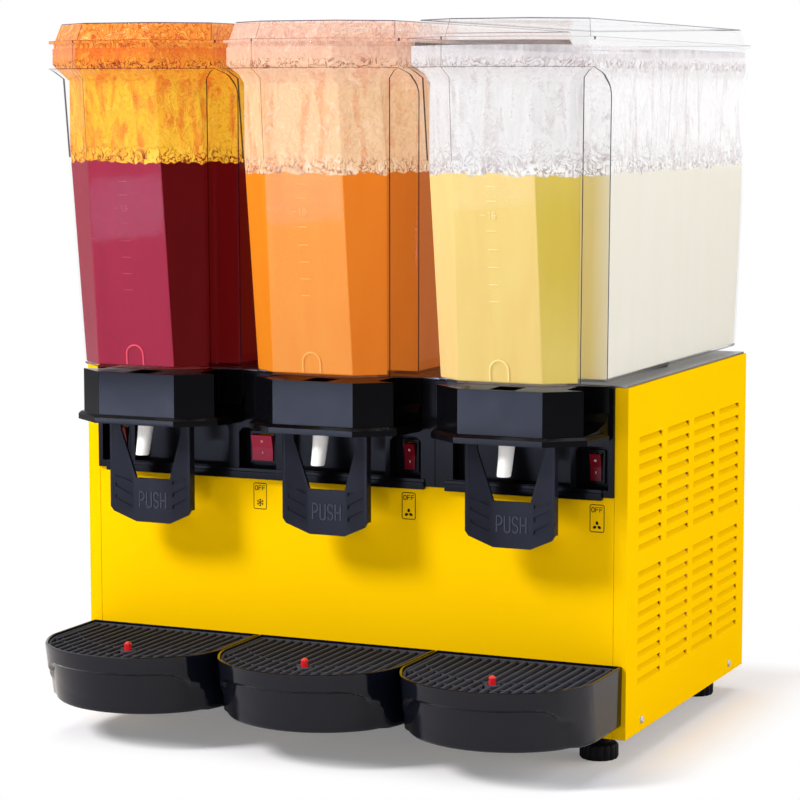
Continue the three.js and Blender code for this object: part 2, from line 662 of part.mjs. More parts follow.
// Grille: bars from back to front in a bowed frame, with a guide for the float
function grilleBody() {
  const rest = inset(trayOutline(trayHalf, tray.side, tray.front), tray.wall - tray.ledge + gap);
  const top = tray.rim - grille.drop;
  const bottom = tray.rim - tray.ledgeDrop + gap;
  const pitch = (trayHalf - tray.wall) * 2 / grille.barCount;
  const slots = Array.from({ length: grille.barCount + 1 }, (_, i) => {
    const x = (i - grille.barCount / 2) * pitch;
    const half = (pitch - grille.barWidth) / 2;
    return box(x - half, x + half, -tray.front, 0, bottom - overrun, top + overrun);
  });
  const within = prismZ(inset(rest, grille.frameWidth), bottom - overrun, top + overrun);
  const column = (radius) =>
    bar('z', radius, bottom - overrun, top + overrun, float.x, -float.y, smallSides);
  const guideRadius = float.capRadius + float.guideFit;
  const guide = column(guideRadius + float.guideWall);
  const bore = column(guideRadius);
  const openings = joined(...slots).intersect(within).subtract(guide);
  return prismZ(rest, bottom, top).subtract(openings).subtract(bore);
}

function floatBody() {
  const floor = tray.bottom + tray.floor + gap;
  const disc = floor + float.discHeight;
  const top = tray.rim + float.proud;
  const cap = top - float.capHeight;
  const round = float.capRadius / 2;
  return turned([
    [0, floor],
    [float.discRadius, floor],
    [float.discRadius, disc],
    [float.stemRadius, disc],
    [float.stemRadius, cap],
    [float.capRadius, cap],
    [float.capRadius, top - round],
    [float.capRadius - round, top],
    [0, top],
  ], float.x, -float.y, smallSides);
}

// Control fascia: one wide unit for two bays and one narrow unit, with recesses and switch pockets
function pocket(x, half, z0, z1) {
  const round = recess.corner;
  const side = [[half, z0], [half, z1 - round], [half - round, z1]];
  const outline = [...side, ...mirrored(side)].map(([u, z]) => [u + x, z]);
  return prismY(outline, -overrun, fascia.floor);
}

function switchPocket(x, half, width) {
  const low = rockerZ - rocker.pocketHeight / 2;
  const high = rockerZ + rocker.pocketHeight / 2;
  const outerX = width / 2 + rocker.bezel;
  const outerZ = rocker.height / 2 + rocker.bezel;
  const frame = box(x - outerX, x + outerX, fascia.floor - rocker.bezelProud, fascia.back,
    rockerZ - outerZ, rockerZ + outerZ);
  const holeX = width / 2 + rocker.fit;
  const holeZ = rocker.height / 2 + rocker.fit;
  const hole = box(x - holeX, x + holeX, -overrun, fascia.back + overrun, rockerZ - holeZ,
    rockerZ + holeZ);
  return { hollow: pocket(x, half, low, high), frame, hole };
}

function fasciaUnit(x0, x1, levers, switches) {
  const plate = box(x0, x1, -fascia.proud, fascia.back, fasciaBottom, fasciaTop);
  const lipX0 = Math.max(x0 + fascia.lipEnd, -openHalf + gap);
  const lipX1 = Math.min(x1 - fascia.lipEnd, openHalf - gap);
  const lipBottom = fasciaBottom - fascia.lipDrop;
  const lipStep = lipBottom + fascia.lipStep;
  const lip = joined(
    box(lipX0, lipX1, -fascia.lipProud, -gap, lipBottom, lipStep),
    box(lipX0, lipX1, -fascia.lipStepProud, -gap, lipStep - gap, fasciaBottom + fascia.lipRise));
  const hollows = levers.map(([left, right]) =>
    pocket((left + right) / 2, (right - left) / 2, fasciaBottom + recess.rise, bodyHeight - recess.drop));
  const pockets = switches.map(([x, half, width]) => switchPocket(x, half, width));
  const opened = cut(plate, ...hollows, ...pockets.map((p) => p.hollow));
  return cut(joined(opened, lip, ...pockets.map((p) => p.frame)), ...pockets.map((p) => p.hole));
}

function rockerBody(width) {
  const { height, crown, valley, depth } = rocker;
  const half = height / 2;
  const front = -crown;
  const profile = [
    [depth, -half / 2],
    [depth, half / 2],
    [0, half],
    [front, half],
    [front + valley, 0],
    [front, -half],
    [0, -half],
  ];
  return prismX(profile, -width / 2, width / 2);
}

// Side panel folded on all four edges, with rows of louvres pressed inwards; drawn for the +X side
function sidePanelBody() {
  const out = bodyWidth / 2;
  const shell = box(openHalf, out, 0, bodyDepth, 0, bodyHeight).subtract(
    box(openHalf - overrun, out - sheet, sheet, bodyDepth - sheet, sheet, bodyHeight - sheet));
  const slots = [];
  const flaps = [];
  for (let column = 0; column < louvre.columns; column += 1) {
    for (let row = 0; row < louvreRows; row += 1) {
      if (row === skippedRow) continue;
      const front = louvre.front + column * (louvreLength + louvre.between);
      const rear = front + louvreLength;
      const top = louvreTop - row * louvre.rowPitch;
      const low = top - louvre.height;
      slots.push(box(out - sheet - overrun, out + overrun, front, rear, low, top));
      const flap = [[out, low], [out - sheet, low - louvre.root], [out - louvre.depth, top]];
      flaps.push(prismY(flap, front, rear));
    }
  }
  return joined(cut(shell, ...slots), ...flaps);
}

function frontPanelBody() {
  const half = openHalf - gap;
  const top = fasciaBottom - gap;
  const shell = box(-half, half, 0, foldWidth, 0, top).subtract(
    box(-half - overrun, half + overrun, sheet, foldWidth + overrun, sheet, top - sheet));
  const slots = bays.flatMap(({ x }) => [-1, 1].map((s) => {
    const middle = x + s * tongueOffset;
    const room = tray.tongueHalf + gap;
    return box(middle - room, middle + room, -overrun, foldWidth / 2, tray.tongueZ - gap,
      tray.tongueZ + tray.tongueThickness + gap);
  }));
  return cut(shell, ...slots);
}

function rearPanelBody() {
  const half = openHalf - gap;
  const shell = box(-half, half, bodyDepth - foldWidth, bodyDepth, 0, bodyHeight - gap).subtract(
    box(-half - overrun, half + overrun, bodyDepth - foldWidth - overrun, bodyDepth - sheet, sheet,
      bodyHeight - gap - sheet));
  const slots = [];
  for (let column = 0; column < rearSlot.columns; column += 1) {
    for (let row = 0; row < rearSlot.rows; row += 1) {
      const x = (column - (rearSlot.columns - 1) / 2) * (rearSlotLength + rearSlot.between);
      const z = bodyHeight - rearSlot.drop - row * rearSlot.rowPitch;
      slots.push(box(x - rearSlotLength / 2, x + rearSlotLength / 2, bodyDepth - sheet - overrun,
        bodyDepth + overrun, z - rearSlot.height, z));
    }
  }
  const inlet = bar('y', gland.stemRadius + gap, bodyDepth - sheet - overrun, bodyDepth + overrun, glandX,
    gland.z, smallSides);
  return cut(shell, ...slots, inlet);
}

const footX = bodyWidth / 2 - foot.fromSide;
const footRear = bodyDepth - foot.fromRear;
const footPlaces = [
  ['foot_front_left', -footX, foot.front],
  ['foot_front_right', footX, foot.front],
  ['foot_rear_left', -footX, footRear],
  ['foot_rear_right', footX, footRear],
];

function basePanBody() {
  const half = bodyWidth / 2 - sheet - gap;
  const low = sheet + gap;
  const high = low + sheet;
  const front = sheet + gap;
  const rear = bodyDepth - sheet - gap;
  const shell = box(-half, half, front, rear, low, low + pan.wall).subtract(
    box(-half + sheet, half - sheet, front + sheet, rear - sheet, high, low + pan.wall + overrun));
  const holes = footPlaces.map(([, x, y]) =>
    bar('z', foot.stemRadius + foot.stemFit, -overrun, high + overrun, x, y, smallSides));
  return cut(shell, ...holes);
}

// Levelling foot: a lobed knob under a dome, on a screw
function footBody() {
  const low = -footHeight;
  const knobTop = low + foot.knobHeight;
  const lobes = [];
  const steps = foot.lobeCount * 2;
  for (let i = 0; i < steps; i += 1) {
    const angle = (i / steps) * Math.PI * 2;
    const radius = foot.knobRadius - (i % 2) * foot.lobeDepth;
    lobes.push([radius * Math.cos(angle), radius * Math.sin(angle)]);
  }
  const knob = prismZ(lobes, low, knobTop);
  const stem = turned([
    [0, knobTop - gap],
    [foot.domeRadius, knobTop - gap],
    [foot.stemRadius, knobTop + foot.domeHeight],
    [foot.stemRadius, foot.stemTop],
    [0, foot.stemTop],
  ], 0, 0, smallSides);
  return knob.add(stem);
}

// Deck with one round opening for each mixer drive
function deckBody() {
  const half = bodyWidth / 2 - deck.inset;
  const plate = box(-half, half, deck.inset, bodyDepth - deck.inset, bodyHeight + gap, deckTop);
  return cut(plate, ...bays.map(({ x }) =>
    bar('z', deckBore, bodyHeight - overrun, deckTop + overrun, x, dome.y, largeSides)));
}

function domeBody() {
  const { radius, round, wall, pinRadius, pinHeight } = dome;
  return turned([
    [0, domeTop + pinHeight],
    [pinRadius, domeTop + pinHeight],
    [pinRadius, domeTop],
    [radius - round, domeTop],
    [radius, domeTop - round],
    [radius, domeBase],
    [radius - wall, domeBase],
    [radius - wall, domeTop - round],
    [radius - round, domeTop - wall],
    [0, domeTop - wall],
  ].reverse(), 0, dome.y, largeSides);
}

function sealBody() {
  const inner = dome.radius + seal.slack;
  const outer = inner + seal.width;
  return turned([
    [inner, domeBase],
    [outer, domeBase],
    [outer, bowlFloor - gap],
    [inner, bowlFloor - gap],
    [inner, domeBase],
  ], 0, dome.y, largeSides);
}

function motorBody() {
  const top = bodyHeight;
  const driveTop = domeTop - dome.wall - motor.driveFit;
  const flange = deckBore + motor.flangeLap;
  return turned([
    [0, motorBottom],
    [motor.bodyRadius, motorBottom],
    [motor.bodyRadius, top - motor.flangeThickness],
    [flange, top - motor.flangeThickness],
    [flange, top],
    [motor.driveRadius, top],
    [motor.driveRadius, driveTop],
    [0, driveTop],
  ], 0, dome.y, smallSides);
}

// Agitator: a cap on the dome's pin with two pitched paddles
function agitatorBody() {
  const low = domeTop + agitator.standoff;
  const high = low + agitator.hubHeight;
  const bore = dome.pinRadius + agitator.boreFit;
  const roof = domeTop + dome.pinHeight + gap;
  const reach = dome.radius - agitator.bladeInset;
  const hub = turned([
    [0, roof],
    [bore, roof],
    [bore, low],
    [agitator.hubRadius, low],
    [agitator.hubRadius, high],
    [agitator.hubRadius - agitator.capWall, roof + agitator.capWall],
    [0, roof + agitator.capWall],
  ], 0, dome.y, smallSides);
  const blades = Array.from({ length: agitator.bladeCount }, (_, i) => {
    const start = (agitator.hubRadius + bore) / 2;
    const geometry = new THREE.BoxGeometry(reach - start, agitator.bladeThickness,
      agitator.bladeHeight);
    geometry.rotateX(THREE.MathUtils.degToRad(agitator.bladePitchDeg));
    geometry.translate((reach + start) / 2, 0, (low + high) / 2);
    geometry.rotateZ((i / agitator.bladeCount) * Math.PI * 2);
    geometry.translate(0, dome.y, 0);
    return solid(geometry);
  });
  return joined(hub, ...blades);
}

// A pipe of one radius along a rounded line of points
function pipe(points, radius, steps) {
  const places = points.map((p) => new THREE.Vector3(...p));
  const curve = new THREE.CatmullRomCurve3(places, false, 'catmullrom', bendTensionShare);
  const section = new THREE.Shape(circle(0, 0, radius, pipeSides).map(([x, y]) => new THREE.Vector2(x, y)));
  return solid(new THREE.ExtrudeGeometry(section, { steps, extrudePath: curve, bevelEnabled: false }));
}

function compressorBody() {
  const { radius, height, shoulder: round, plateHalf, plate, lift, footRadius, footInset } = compressor;
  const x = -bodyWidth / 2 + compressor.fromSide;
  const y = bodyDepth - compressor.fromRear;
  const low = panFloor + lift;
  const top = low + height;
  const shell = turned([
    [0, low],
    [radius, low],
    [radius, top - round],
    [radius - round, top],
    [0, top],
  ], x, y, largeSides);
  const base = box(x - plateHalf, x + plateHalf, y - plateHalf, y + plateHalf, low, low + plate);
  const feet = [-1, 1].flatMap((sx) => [-1, 1].map((sy) => {
    const reach = plateHalf - footInset;
    return bar('z', footRadius, panFloor + gap, low + plate / 2, x + sx * reach, y + sy * reach, pipeSides);
  }));
  const port = bar('x', compressor.portRadius, x + radius / 2, x + radius + compressor.portLength, y,
    top - compressor.portDrop, smallSides);
  return joined(shell, base, ...feet, port);
}

// Condenser: a finned block with a return bend at each end
function condenserBody() {
  const { thickness, front, finCount, finShare, tubeInset, bendRadius, stub } = condenser;
  const x = condenserX;
  const bottom = panFloor + gap;
  const top = motorBottom - condenser.headroom;
  const pitch = (condenserRear - front) / finCount;
  const comb = [];
  for (let i = 0; i < finCount; i += 1) {
    const start = front + i * pitch;
    const fin = pitch * finShare;
    comb.push([x + thickness, start], [x + thickness, start + fin], [x + thickness * finShare, start + fin],
      [x + thickness * finShare, start + pitch]);
  }
  comb.push([x, condenserRear], [x, front]);
  const block = prismZ(comb, bottom, top);
  const bends = [front, condenserRear].map((y, i) => {
    const out = i === 0 ? -stub : stub;
    const low = bottom + tubeInset;
    const high = top - tubeInset;
    const depth = x + thickness * finShare / 2;
    return pipe([[depth, y - out, low], [depth, y + out, low], [depth, y + out, (low + high) / 2],
      [depth, y + out, high], [depth, y - out, high]], bendRadius, archSteps + 1);
  });
  return joined(block, ...bends);
}

// Fan bracket: plate, ring, crossed struts and the motor that they carry
function fanBracketBody() {
  const rear = fanX - fan.plate;
  const plate = box(rear, fanX, fanY - fanHalf, fanY + fanHalf, fanZ - fanHalf, fanZ + fanHalf);
  const ring = bar('x', fanRing, fanX - fan.ringDepth, fanX, fanY, fanZ, largeSides);
  const opening = bar('x', fanOpening, fanX - fan.ringDepth - overrun, fanX + overrun, fanY, fanZ,
    largeSides);
  const back = fanX - fan.ringDepth;
  const reach = (fanOpening + fanRing) / 2;
  const across = fan.strutWidth / 2;
  const struts = [
    box(back - fan.strutDepth, back + gap, fanY - reach, fanY + reach, fanZ - across, fanZ + across),
    box(back - fan.strutDepth, back + gap, fanY - across, fanY + across, fanZ - reach, fanZ + reach),
  ];
  const motorEnd = back - fan.strutDepth;
  const body = bar('x', fan.motorRadius, motorEnd - fan.motorLength, motorEnd + fan.strutDepth, fanY, fanZ,
    smallSides);
  const shaft = bar('x', fan.shaftRadius, motorEnd, back + fan.hubFit + fan.hubDepth / 2, fanY, fanZ,
    smallSides);
  const legs = box(rear, fanX, fanY - fanHalf, fanY + fanHalf, panFloor + gap, fanZ - fanHalf + gap);
  return joined(cut(joined(plate, ring), opening), ...struts, body, shaft, legs);
}

function fanBladesBody() {
  const back = fanX - fan.ringDepth + fan.hubFit;
  const hub = bar('x', fan.hubRadius, back, back + fan.hubDepth, fanY, fanZ, smallSides);
  const bore = bar('x', fan.shaftRadius + gap, back - overrun, back + fan.hubDepth / 2 + gap, fanY, fanZ,
    smallSides);
  const reach = fanOpening - fan.bladeSpace;
  const blades = Array.from({ length: fan.bladeCount }, (_, i) => {
    const start = fan.hubRadius * fan.rootShare;
    const geometry = new THREE.BoxGeometry(fan.bladeThickness, fan.bladeWidth, reach - start);
    geometry.rotateZ(THREE.MathUtils.degToRad(fan.bladePitchDeg));
    geometry.translate(back + fan.hubDepth / 2, 0, (reach + start) / 2);
    geometry.rotateX((i / fan.bladeCount) * Math.PI * 2);
    geometry.translate(0, fanY, fanZ);
    return solid(geometry);
  });
  return joined(hub, ...blades).subtract(bore);
}

// Thermostat: a box with its setting spindle towards the front
function thermostatBody() {
  const low = panFloor + gap;
  const { y, width, depth, height, spindleRadius, spindleLength } = thermostat;
  const x = doubleUnitCentre + thermostat.fromCooling;
  const housing = box(x - width / 2, x + width / 2, y, y + depth, low, low + height);
  const spindle = bar('y', spindleRadius, y - spindleLength, y + depth / 2, x, low + height / 2, smallSides);
  return housing.add(spindle);
}

// Cable gland: a nut and a hollow tail through the rear panel
function glandBody() {
  const wall = bodyDepth + gap;
  const nut = bar('y', gland.radius, wall, wall + gland.nutHeight, glandX, gland.z, gland.nutSides);
  const tail = bar('y', gland.stemRadius, bodyDepth - gland.stemLength, wall + gland.domeLength, glandX,
    gland.z, smallSides);
  const bore = bar('y', gland.bore, bodyDepth - gland.stemLength - overrun, wall + gland.domeLength + overrun,
    glandX, gland.z, smallSides);
  return joined(nut, tail).subtract(bore);
}

// The scene: one named mesh for each piece
const dispenser = new THREE.Group();

function place(name, body, material, x = 0, y = 0, z = 0) {
  const geometry = geometryOf(body);
  geometry.computeVertexNormals();
  const mesh = new THREE.Mesh(geometry, material);
  mesh.name = name;
  mesh.position.set(x, y, z);
  dispenser.add(mesh);
  return mesh;
}

place('base_pan', basePanBody(), zincSteel());
place('front_panel', frontPanelBody(), yellowPaint());
const rightPanel = sidePanelBody();
place('right_side_panel', rightPanel, yellowPaint());
place('left_side_panel', flipX(rightPanel), yellowPaint());
place('rear_panel', rearPanelBody(), yellowPaint());
place('deck', deckBody(), stainless());

const [leftBay, middleBay, rightBay] = bays;
place('fascia_double', fasciaUnit(-openHalf + gap, bayHalf - gap / 2, [
  [leftBay.x - recessNarrow, leftBay.x + recessWide - fascia.edge],
  [middleBay.x - recessWide + fascia.edge, middleBay.x + recessNarrow],
], [
  [leftBay.x - rockerOffset, rocker.pocketHalf, rocker.width],
  [doubleUnitCentre, rocker.widePocketHalf, rocker.wideWidth],
  [middleBay.x + rockerOffset, rocker.pocketHalf, rocker.width],
]), blackPlastic());
place('fascia_single', fasciaUnit(bayHalf + gap / 2, openHalf - gap, [
  [rightBay.x - recessWide, rightBay.x + recessNarrow],
], [
  [rightBay.x + rockerOffset, rocker.pocketHalf, rocker.width],
]), blackPlastic());

const rockers = [
  ['rocker_left', leftBay.x - rockerOffset, rocker.width],
  ['rocker_cooling', doubleUnitCentre, rocker.wideWidth],
  ['rocker_middle', middleBay.x + rockerOffset, rocker.width],
  ['rocker_right', rightBay.x + rockerOffset, rocker.width],
];
for (const [name, x, width] of rockers) {
  const pivotY = fascia.floor - rocker.bezelProud;
  const mesh = place(name, rockerBody(width), redPlastic(), x, pivotY, rockerZ);
  mesh.rotation.x = THREE.MathUtils.degToRad(rocker.tiltDeg);
}

for (const { name, x } of bays) {
  place(`bowl_${name}`, bowlBody(), clearPlastic(), x);
  place(`lid_${name}`, lidBody(), clearPlastic(), x);
  place(`collar_${name}`, collarBody(), satinBlack(), x);
  place(`lever_${name}`, leverBody(), satinBlack(), x);
  place(`nozzle_${name}`, nozzleBody(), whiteSilicone(), x);
  place(`tray_${name}`, trayBody(), blackPlastic(), x);
  place(`grille_${name}`, grilleBody(), blackPlastic(), x);
  place(`float_${name}`, floatBody(), redPlastic(), x);
  place(`evaporator_${name}`, domeBody(), stainless(), x);
  place(`bowl_seal_${name}`, sealBody(), darkRubber(), x);
  place(`mixer_motor_${name}`, motorBody(), zincSteel(), x);
  place(`agitator_${name}`, agitatorBody(), whiteSilicone(), x);
}

for (const [name, x, y] of footPlaces) place(name, footBody(), darkRubber(), x, y);

place('compressor', compressorBody(), satinBlack());
place('condenser', condenserBody(), zincSteel());
place('fan_bracket', fanBracketBody(), zincSteel());
place('fan_blades', fanBladesBody(), satinBlack());
place('thermostat', thermostatBody(), satinBlack());
place('cable_gland', glandBody(), satinBlack());

// Stand the dispenser on Z = 0, centred on its own outline from the tray fronts to the bowl rims
const product = new THREE.Group();
dispenser.position.set(0, (tray.front - rimPlan.rear) / 2, footHeight);
product.add(dispenser);

export default product;
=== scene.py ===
"""Looks of a refrigerated counter-top drink dispenser with three clear bowls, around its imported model."""
import json
from math import atan, atan2, cos, degrees, hypot, radians, sin, sqrt, tan, tau

import bmesh
import bpy
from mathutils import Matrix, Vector, noise

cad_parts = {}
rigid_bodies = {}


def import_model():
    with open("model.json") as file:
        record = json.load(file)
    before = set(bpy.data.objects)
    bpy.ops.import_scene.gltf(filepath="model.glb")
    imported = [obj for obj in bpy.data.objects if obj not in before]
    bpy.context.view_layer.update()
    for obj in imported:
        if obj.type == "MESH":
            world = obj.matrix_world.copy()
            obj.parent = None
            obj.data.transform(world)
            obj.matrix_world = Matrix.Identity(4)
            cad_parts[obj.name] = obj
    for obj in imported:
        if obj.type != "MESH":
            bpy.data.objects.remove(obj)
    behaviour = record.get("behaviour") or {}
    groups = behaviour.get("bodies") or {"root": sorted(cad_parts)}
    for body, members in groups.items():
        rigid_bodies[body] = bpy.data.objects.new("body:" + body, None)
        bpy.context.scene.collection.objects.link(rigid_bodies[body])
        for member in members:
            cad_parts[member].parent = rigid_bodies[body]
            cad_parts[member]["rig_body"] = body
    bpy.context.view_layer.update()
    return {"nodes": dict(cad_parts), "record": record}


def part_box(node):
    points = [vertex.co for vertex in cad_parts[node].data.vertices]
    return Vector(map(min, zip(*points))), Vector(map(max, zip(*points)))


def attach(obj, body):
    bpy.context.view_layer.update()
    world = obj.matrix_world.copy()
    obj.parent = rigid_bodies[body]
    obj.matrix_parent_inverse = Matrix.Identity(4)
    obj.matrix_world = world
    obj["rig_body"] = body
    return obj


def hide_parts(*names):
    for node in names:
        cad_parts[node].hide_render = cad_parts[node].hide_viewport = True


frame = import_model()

MM = 0.001
# Pieces are in millimetres about the foot of the front panel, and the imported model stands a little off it
SHIFT = Vector((0.0, -117.5, 25.0))
BAYS = {"left": -178.0, "middle": 0.0, "right": 178.0}
LEVELS = {"left": 505.0, "middle": 497.0, "right": 497.0}
FILL, FLOOR_LIFT = 0.26, 0.19


# Camera and lights
def add_object(name, data):
    obj = bpy.data.objects.new(name, data)
    bpy.context.scene.collection.objects.link(obj)
    return obj


def aim(obj, place, forward):
    obj.location = place
    obj.rotation_mode = "QUATERNION"
    obj.rotation_quaternion = forward.to_track_quat("-Z", "Y")


def make_camera():
    data = bpy.data.cameras.new("camera")
    data.sensor_width = 36.0
    data.lens = 120.74
    data.clip_start = 0.05
    data.clip_end = 60.0
    camera = add_object("camera", data)
    yaw, pitch = radians(23.8635), radians(6.4261)
    forward = Vector((-sin(yaw) * cos(pitch), cos(yaw) * cos(pitch), -sin(pitch)))
    aim(camera, (1.023907, -2.311395, 0.587002), forward)
    bpy.context.scene.camera = camera


def make_light(name, place, target, size, power, colour=(1.0, 1.0, 1.0), diffuse=True, gloss=True):
    data = bpy.data.lights.new(name, "AREA")
    data.shape = "RECTANGLE"
    data.size, data.size_y = size
    data.energy = power
    data.color = colour
    light = add_object(name, data)
    light.visible_diffuse = diffuse
    light.visible_glossy = gloss
    aim(light, place, Vector(target) - Vector(place))


# Material code
def rgb(red, green, blue):
    """Linear colour of an 8-bit screen colour."""
    def linear(value):
        value /= 255.0
        return value / 12.92 if value <= 0.04045 else ((value + 0.055) / 1.055) ** 2.4
    return (linear(red), linear(green), linear(blue), 1.0)


def dimmed(colour, gain):
    return (*(min(1.0, c * gain) for c in colour[:3]), 1.0)


def lifted(z):
    """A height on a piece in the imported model's metres."""
    return (z + SHIFT.z) * MM


def node(tree, kind, inputs=None, **settings):
    """A new node of a tree; each input is a constant or the socket that feeds it."""
    made = tree.nodes.new("ShaderNode" + kind)
    for key, value in settings.items():
        setattr(made, key, value)
    for key, value in (inputs or {}).items():
        if isinstance(value, bpy.types.NodeSocket):
            tree.links.new(value, made.inputs[key])
        else:
            made.inputs[key].default_value = value
    return made


def calc(tree, operation, first, second=0.0, clamp=False):
    return node(tree, "Math", {0: first, 1: second}, operation=operation, use_clamp=clamp).outputs[0]


def spread(tree, value, low, high, to_low=0.0, to_high=1.0, kind="LINEAR"):
    """A value's place between two others, carried over to a second range."""
    ranges = {"Value": value, "From Min": low, "From Max": high, "To Min": to_low, "To Max": to_high}
    return node(tree, "MapRange", ranges, interpolation_type=kind).outputs["Result"]


def blend(tree, share, first, second, kind="MIX"):
    return node(tree, "MixRGB", {"Fac": share, "Color1": first, "Color2": second}, blend_type=kind).outputs[0]


def own_place(tree):
    return node(tree, "TexCoord").outputs["Object"]


def split(tree, vector):
    return node(tree, "SeparateXYZ", {0: vector}).outputs


def clouds(tree, scale, stretch=(1.0, 1.0, 1.0), detail=3.0, distortion=0.0):
    """Noise in the object's own coordinates, drawn out along its axes."""
    drawn = node(tree, "Mapping", {"Vector": own_place(tree), "Scale": stretch}).outputs[0]
    inputs = {"Vector": drawn, "Scale": scale, "Detail": detail, "Distortion": distortion}
    return node(tree, "TexNoise", inputs).outputs["Fac"]


def roughened(tree, shader, height, strength, distance):
    bump = node(tree, "Bump", {"Height": height, "Strength": strength, "Distance": distance})
    tree.links.new(bump.outputs["Normal"], shader.inputs["Normal"])


def material(name, inputs):
    mat = bpy.data.materials.new(name)
    mat.use_nodes = True
    tree = mat.node_tree
    shader = tree.nodes["Principled BSDF"]
    for key, value in inputs.items():
        shader.inputs[key].default_value = value
    return mat, tree, shader


def surface(name, colour, rough, metal=0.0, vary=0.06, grain=60.0, bump=0.02, coat=0.0, fine=900.0,
            specular=0.5):
    """A finish with slight colour and roughness variation and a fine moulded or sprayed grain."""
    mat, tree, shader = material(name, {"Metallic": metal, "Coat Weight": coat, "Coat Roughness": 0.08,
                                        "Specular IOR Level": specular})
    rough_vary = 0.25
    cloud = clouds(tree, grain, detail=4.0)
    tint = blend(tree, cloud, dimmed(colour, 1 - vary), dimmed(colour, 1 + vary))
    tree.links.new(tint, shader.inputs["Base Color"])
    tree.links.new(spread(tree, cloud, 0, 1, rough * (1 - rough_vary), rough * (1 + rough_vary)),
                   shader.inputs["Roughness"])
    if bump:
        roughened(tree, shader, clouds(tree, fine, detail=2.0), bump, 0.0005)
    return mat


def clear_plastic(name, colour, base, edge_gain, rough=0.04):
    """Thin clear wall: see-through straight on, with a mirror share that grows as it turns away."""
    mat, tree, shader = material(name, {"Base Color": colour, "Metallic": 1.0, "Roughness": rough})
    slant = node(tree, "LayerWeight", {"Blend": 0.5}).outputs["Facing"]
    share = calc(tree, "MULTIPLY", calc(tree, "POWER", slant, 5.0), edge_gain)
    tree.links.new(calc(tree, "ADD", share, base, clamp=True), shader.inputs["Alpha"])
    roughened(tree, shader, clouds(tree, 22.0, detail=2.0), 0.04, 0.001)
    return mat


def painted_glow(tree, shader, tone, glow):
    """Shares a liquid's tone between the light that its face scatters and a painted glow, an emission that
    stands in for the light that comes through it.
    """
    tree.links.new(tone, shader.inputs["Emission Color"])
    shader.inputs["Emission Strength"].default_value = glow
    scattered = (1.0 - glow,) * 3 + (1.0,)
    tree.links.new(blend(tree, 1.0, tone, scattered, "MULTIPLY"), shader.inputs["Base Color"])


def behind(tree, place, low, high, clear):
    """1 behind a plane that leans forwards from low at the bowl's floor to high at its shoulder."""
    lean = (high - low) / (SHOULDER - FLOOR)
    start = (-low + clear + SHIFT.y + lean * (FLOOR + SHIFT.z)) * MM
    depth = calc(tree, "ADD", place["Y"], calc(tree, "MULTIPLY", place["Z"], lean))
    return spread(tree, depth, start - MM, start + MM)


def drink(name, tones, glow, foot_gain, oval=0.0):
    """Juice against the bowl's wall, with painted light and shade: one tone for each way that a facet looks,
    and darker towards the foot.
    """
    mat, tree, shader = material(name, {"Roughness": 0.3, "Specular IOR Level": 0.015})
    left, front, right, groove, box = (rgb(*tone) for tone in tones)
    normal = split(tree, node(tree, "NewGeometry").outputs["True Normal"])
    place = split(tree, own_place(tree))
    ahead = calc(tree, "MULTIPLY", normal["Y"], -1.0)
    turned = spread(tree, normal["X"], -0.2, 0.2)
    angled = blend(tree, turned, left, right)
    # Painted shade: a soft darker oval on the facets that look right
    if oval:
        centre = [value * MM for value in (BAYS["right"] + 55.0, SHIFT.y - 78.0, SHIFT.z + 440.0)]
        reach = [1 / (value * MM) for value in (34.0, 60.0, 75.0)]
        away = own_place(tree)
        for operation, by in (("SUBTRACT", centre), ("MULTIPLY", reach)):
            away = node(tree, "VectorMath", {0: away, 1: by}, operation=operation).outputs[0]
        length = node(tree, "VectorMath", {0: away}, operation="LENGTH").outputs["Value"]
        oval_shade = calc(tree, "MULTIPLY", spread(tree, length, 1.3, 0.4), turned)
        angled = blend(tree, calc(tree, "MULTIPLY", oval_shade, oval), angled, (0.86, 0.8, 0.42, 1.0), "MULTIPLY")
    # Painted light and shade: facets that look forwards get the front tone, and the set-back grooves and box
    # get tones of their own
    tone = blend(tree, spread(tree, ahead, 0.85, 0.95), angled, front)
    tone = blend(tree, behind(tree, place, GROOVE_LOW, GROOVE_HIGH, 2.0), tone, groove)
    tone = blend(tree, behind(tree, place, BOX_LOW, BOX_HIGH, 1.0), tone, box)
    low_down = spread(tree, place["Z"], lifted(FLOOR), lifted(SHOULDER - 60.0), 1.0, 0.0)
    tone = blend(tree, low_down, tone, (foot_gain,) * 3 + (1.0,), "MULTIPLY")
    tone = blend(tree, 0.14, tone, clouds(tree, 1.0, (60.0, 60.0, 6.0), 3.0, 0.6), "OVERLAY")
    painted_glow(tree, shader, tone, glow)
    return mat


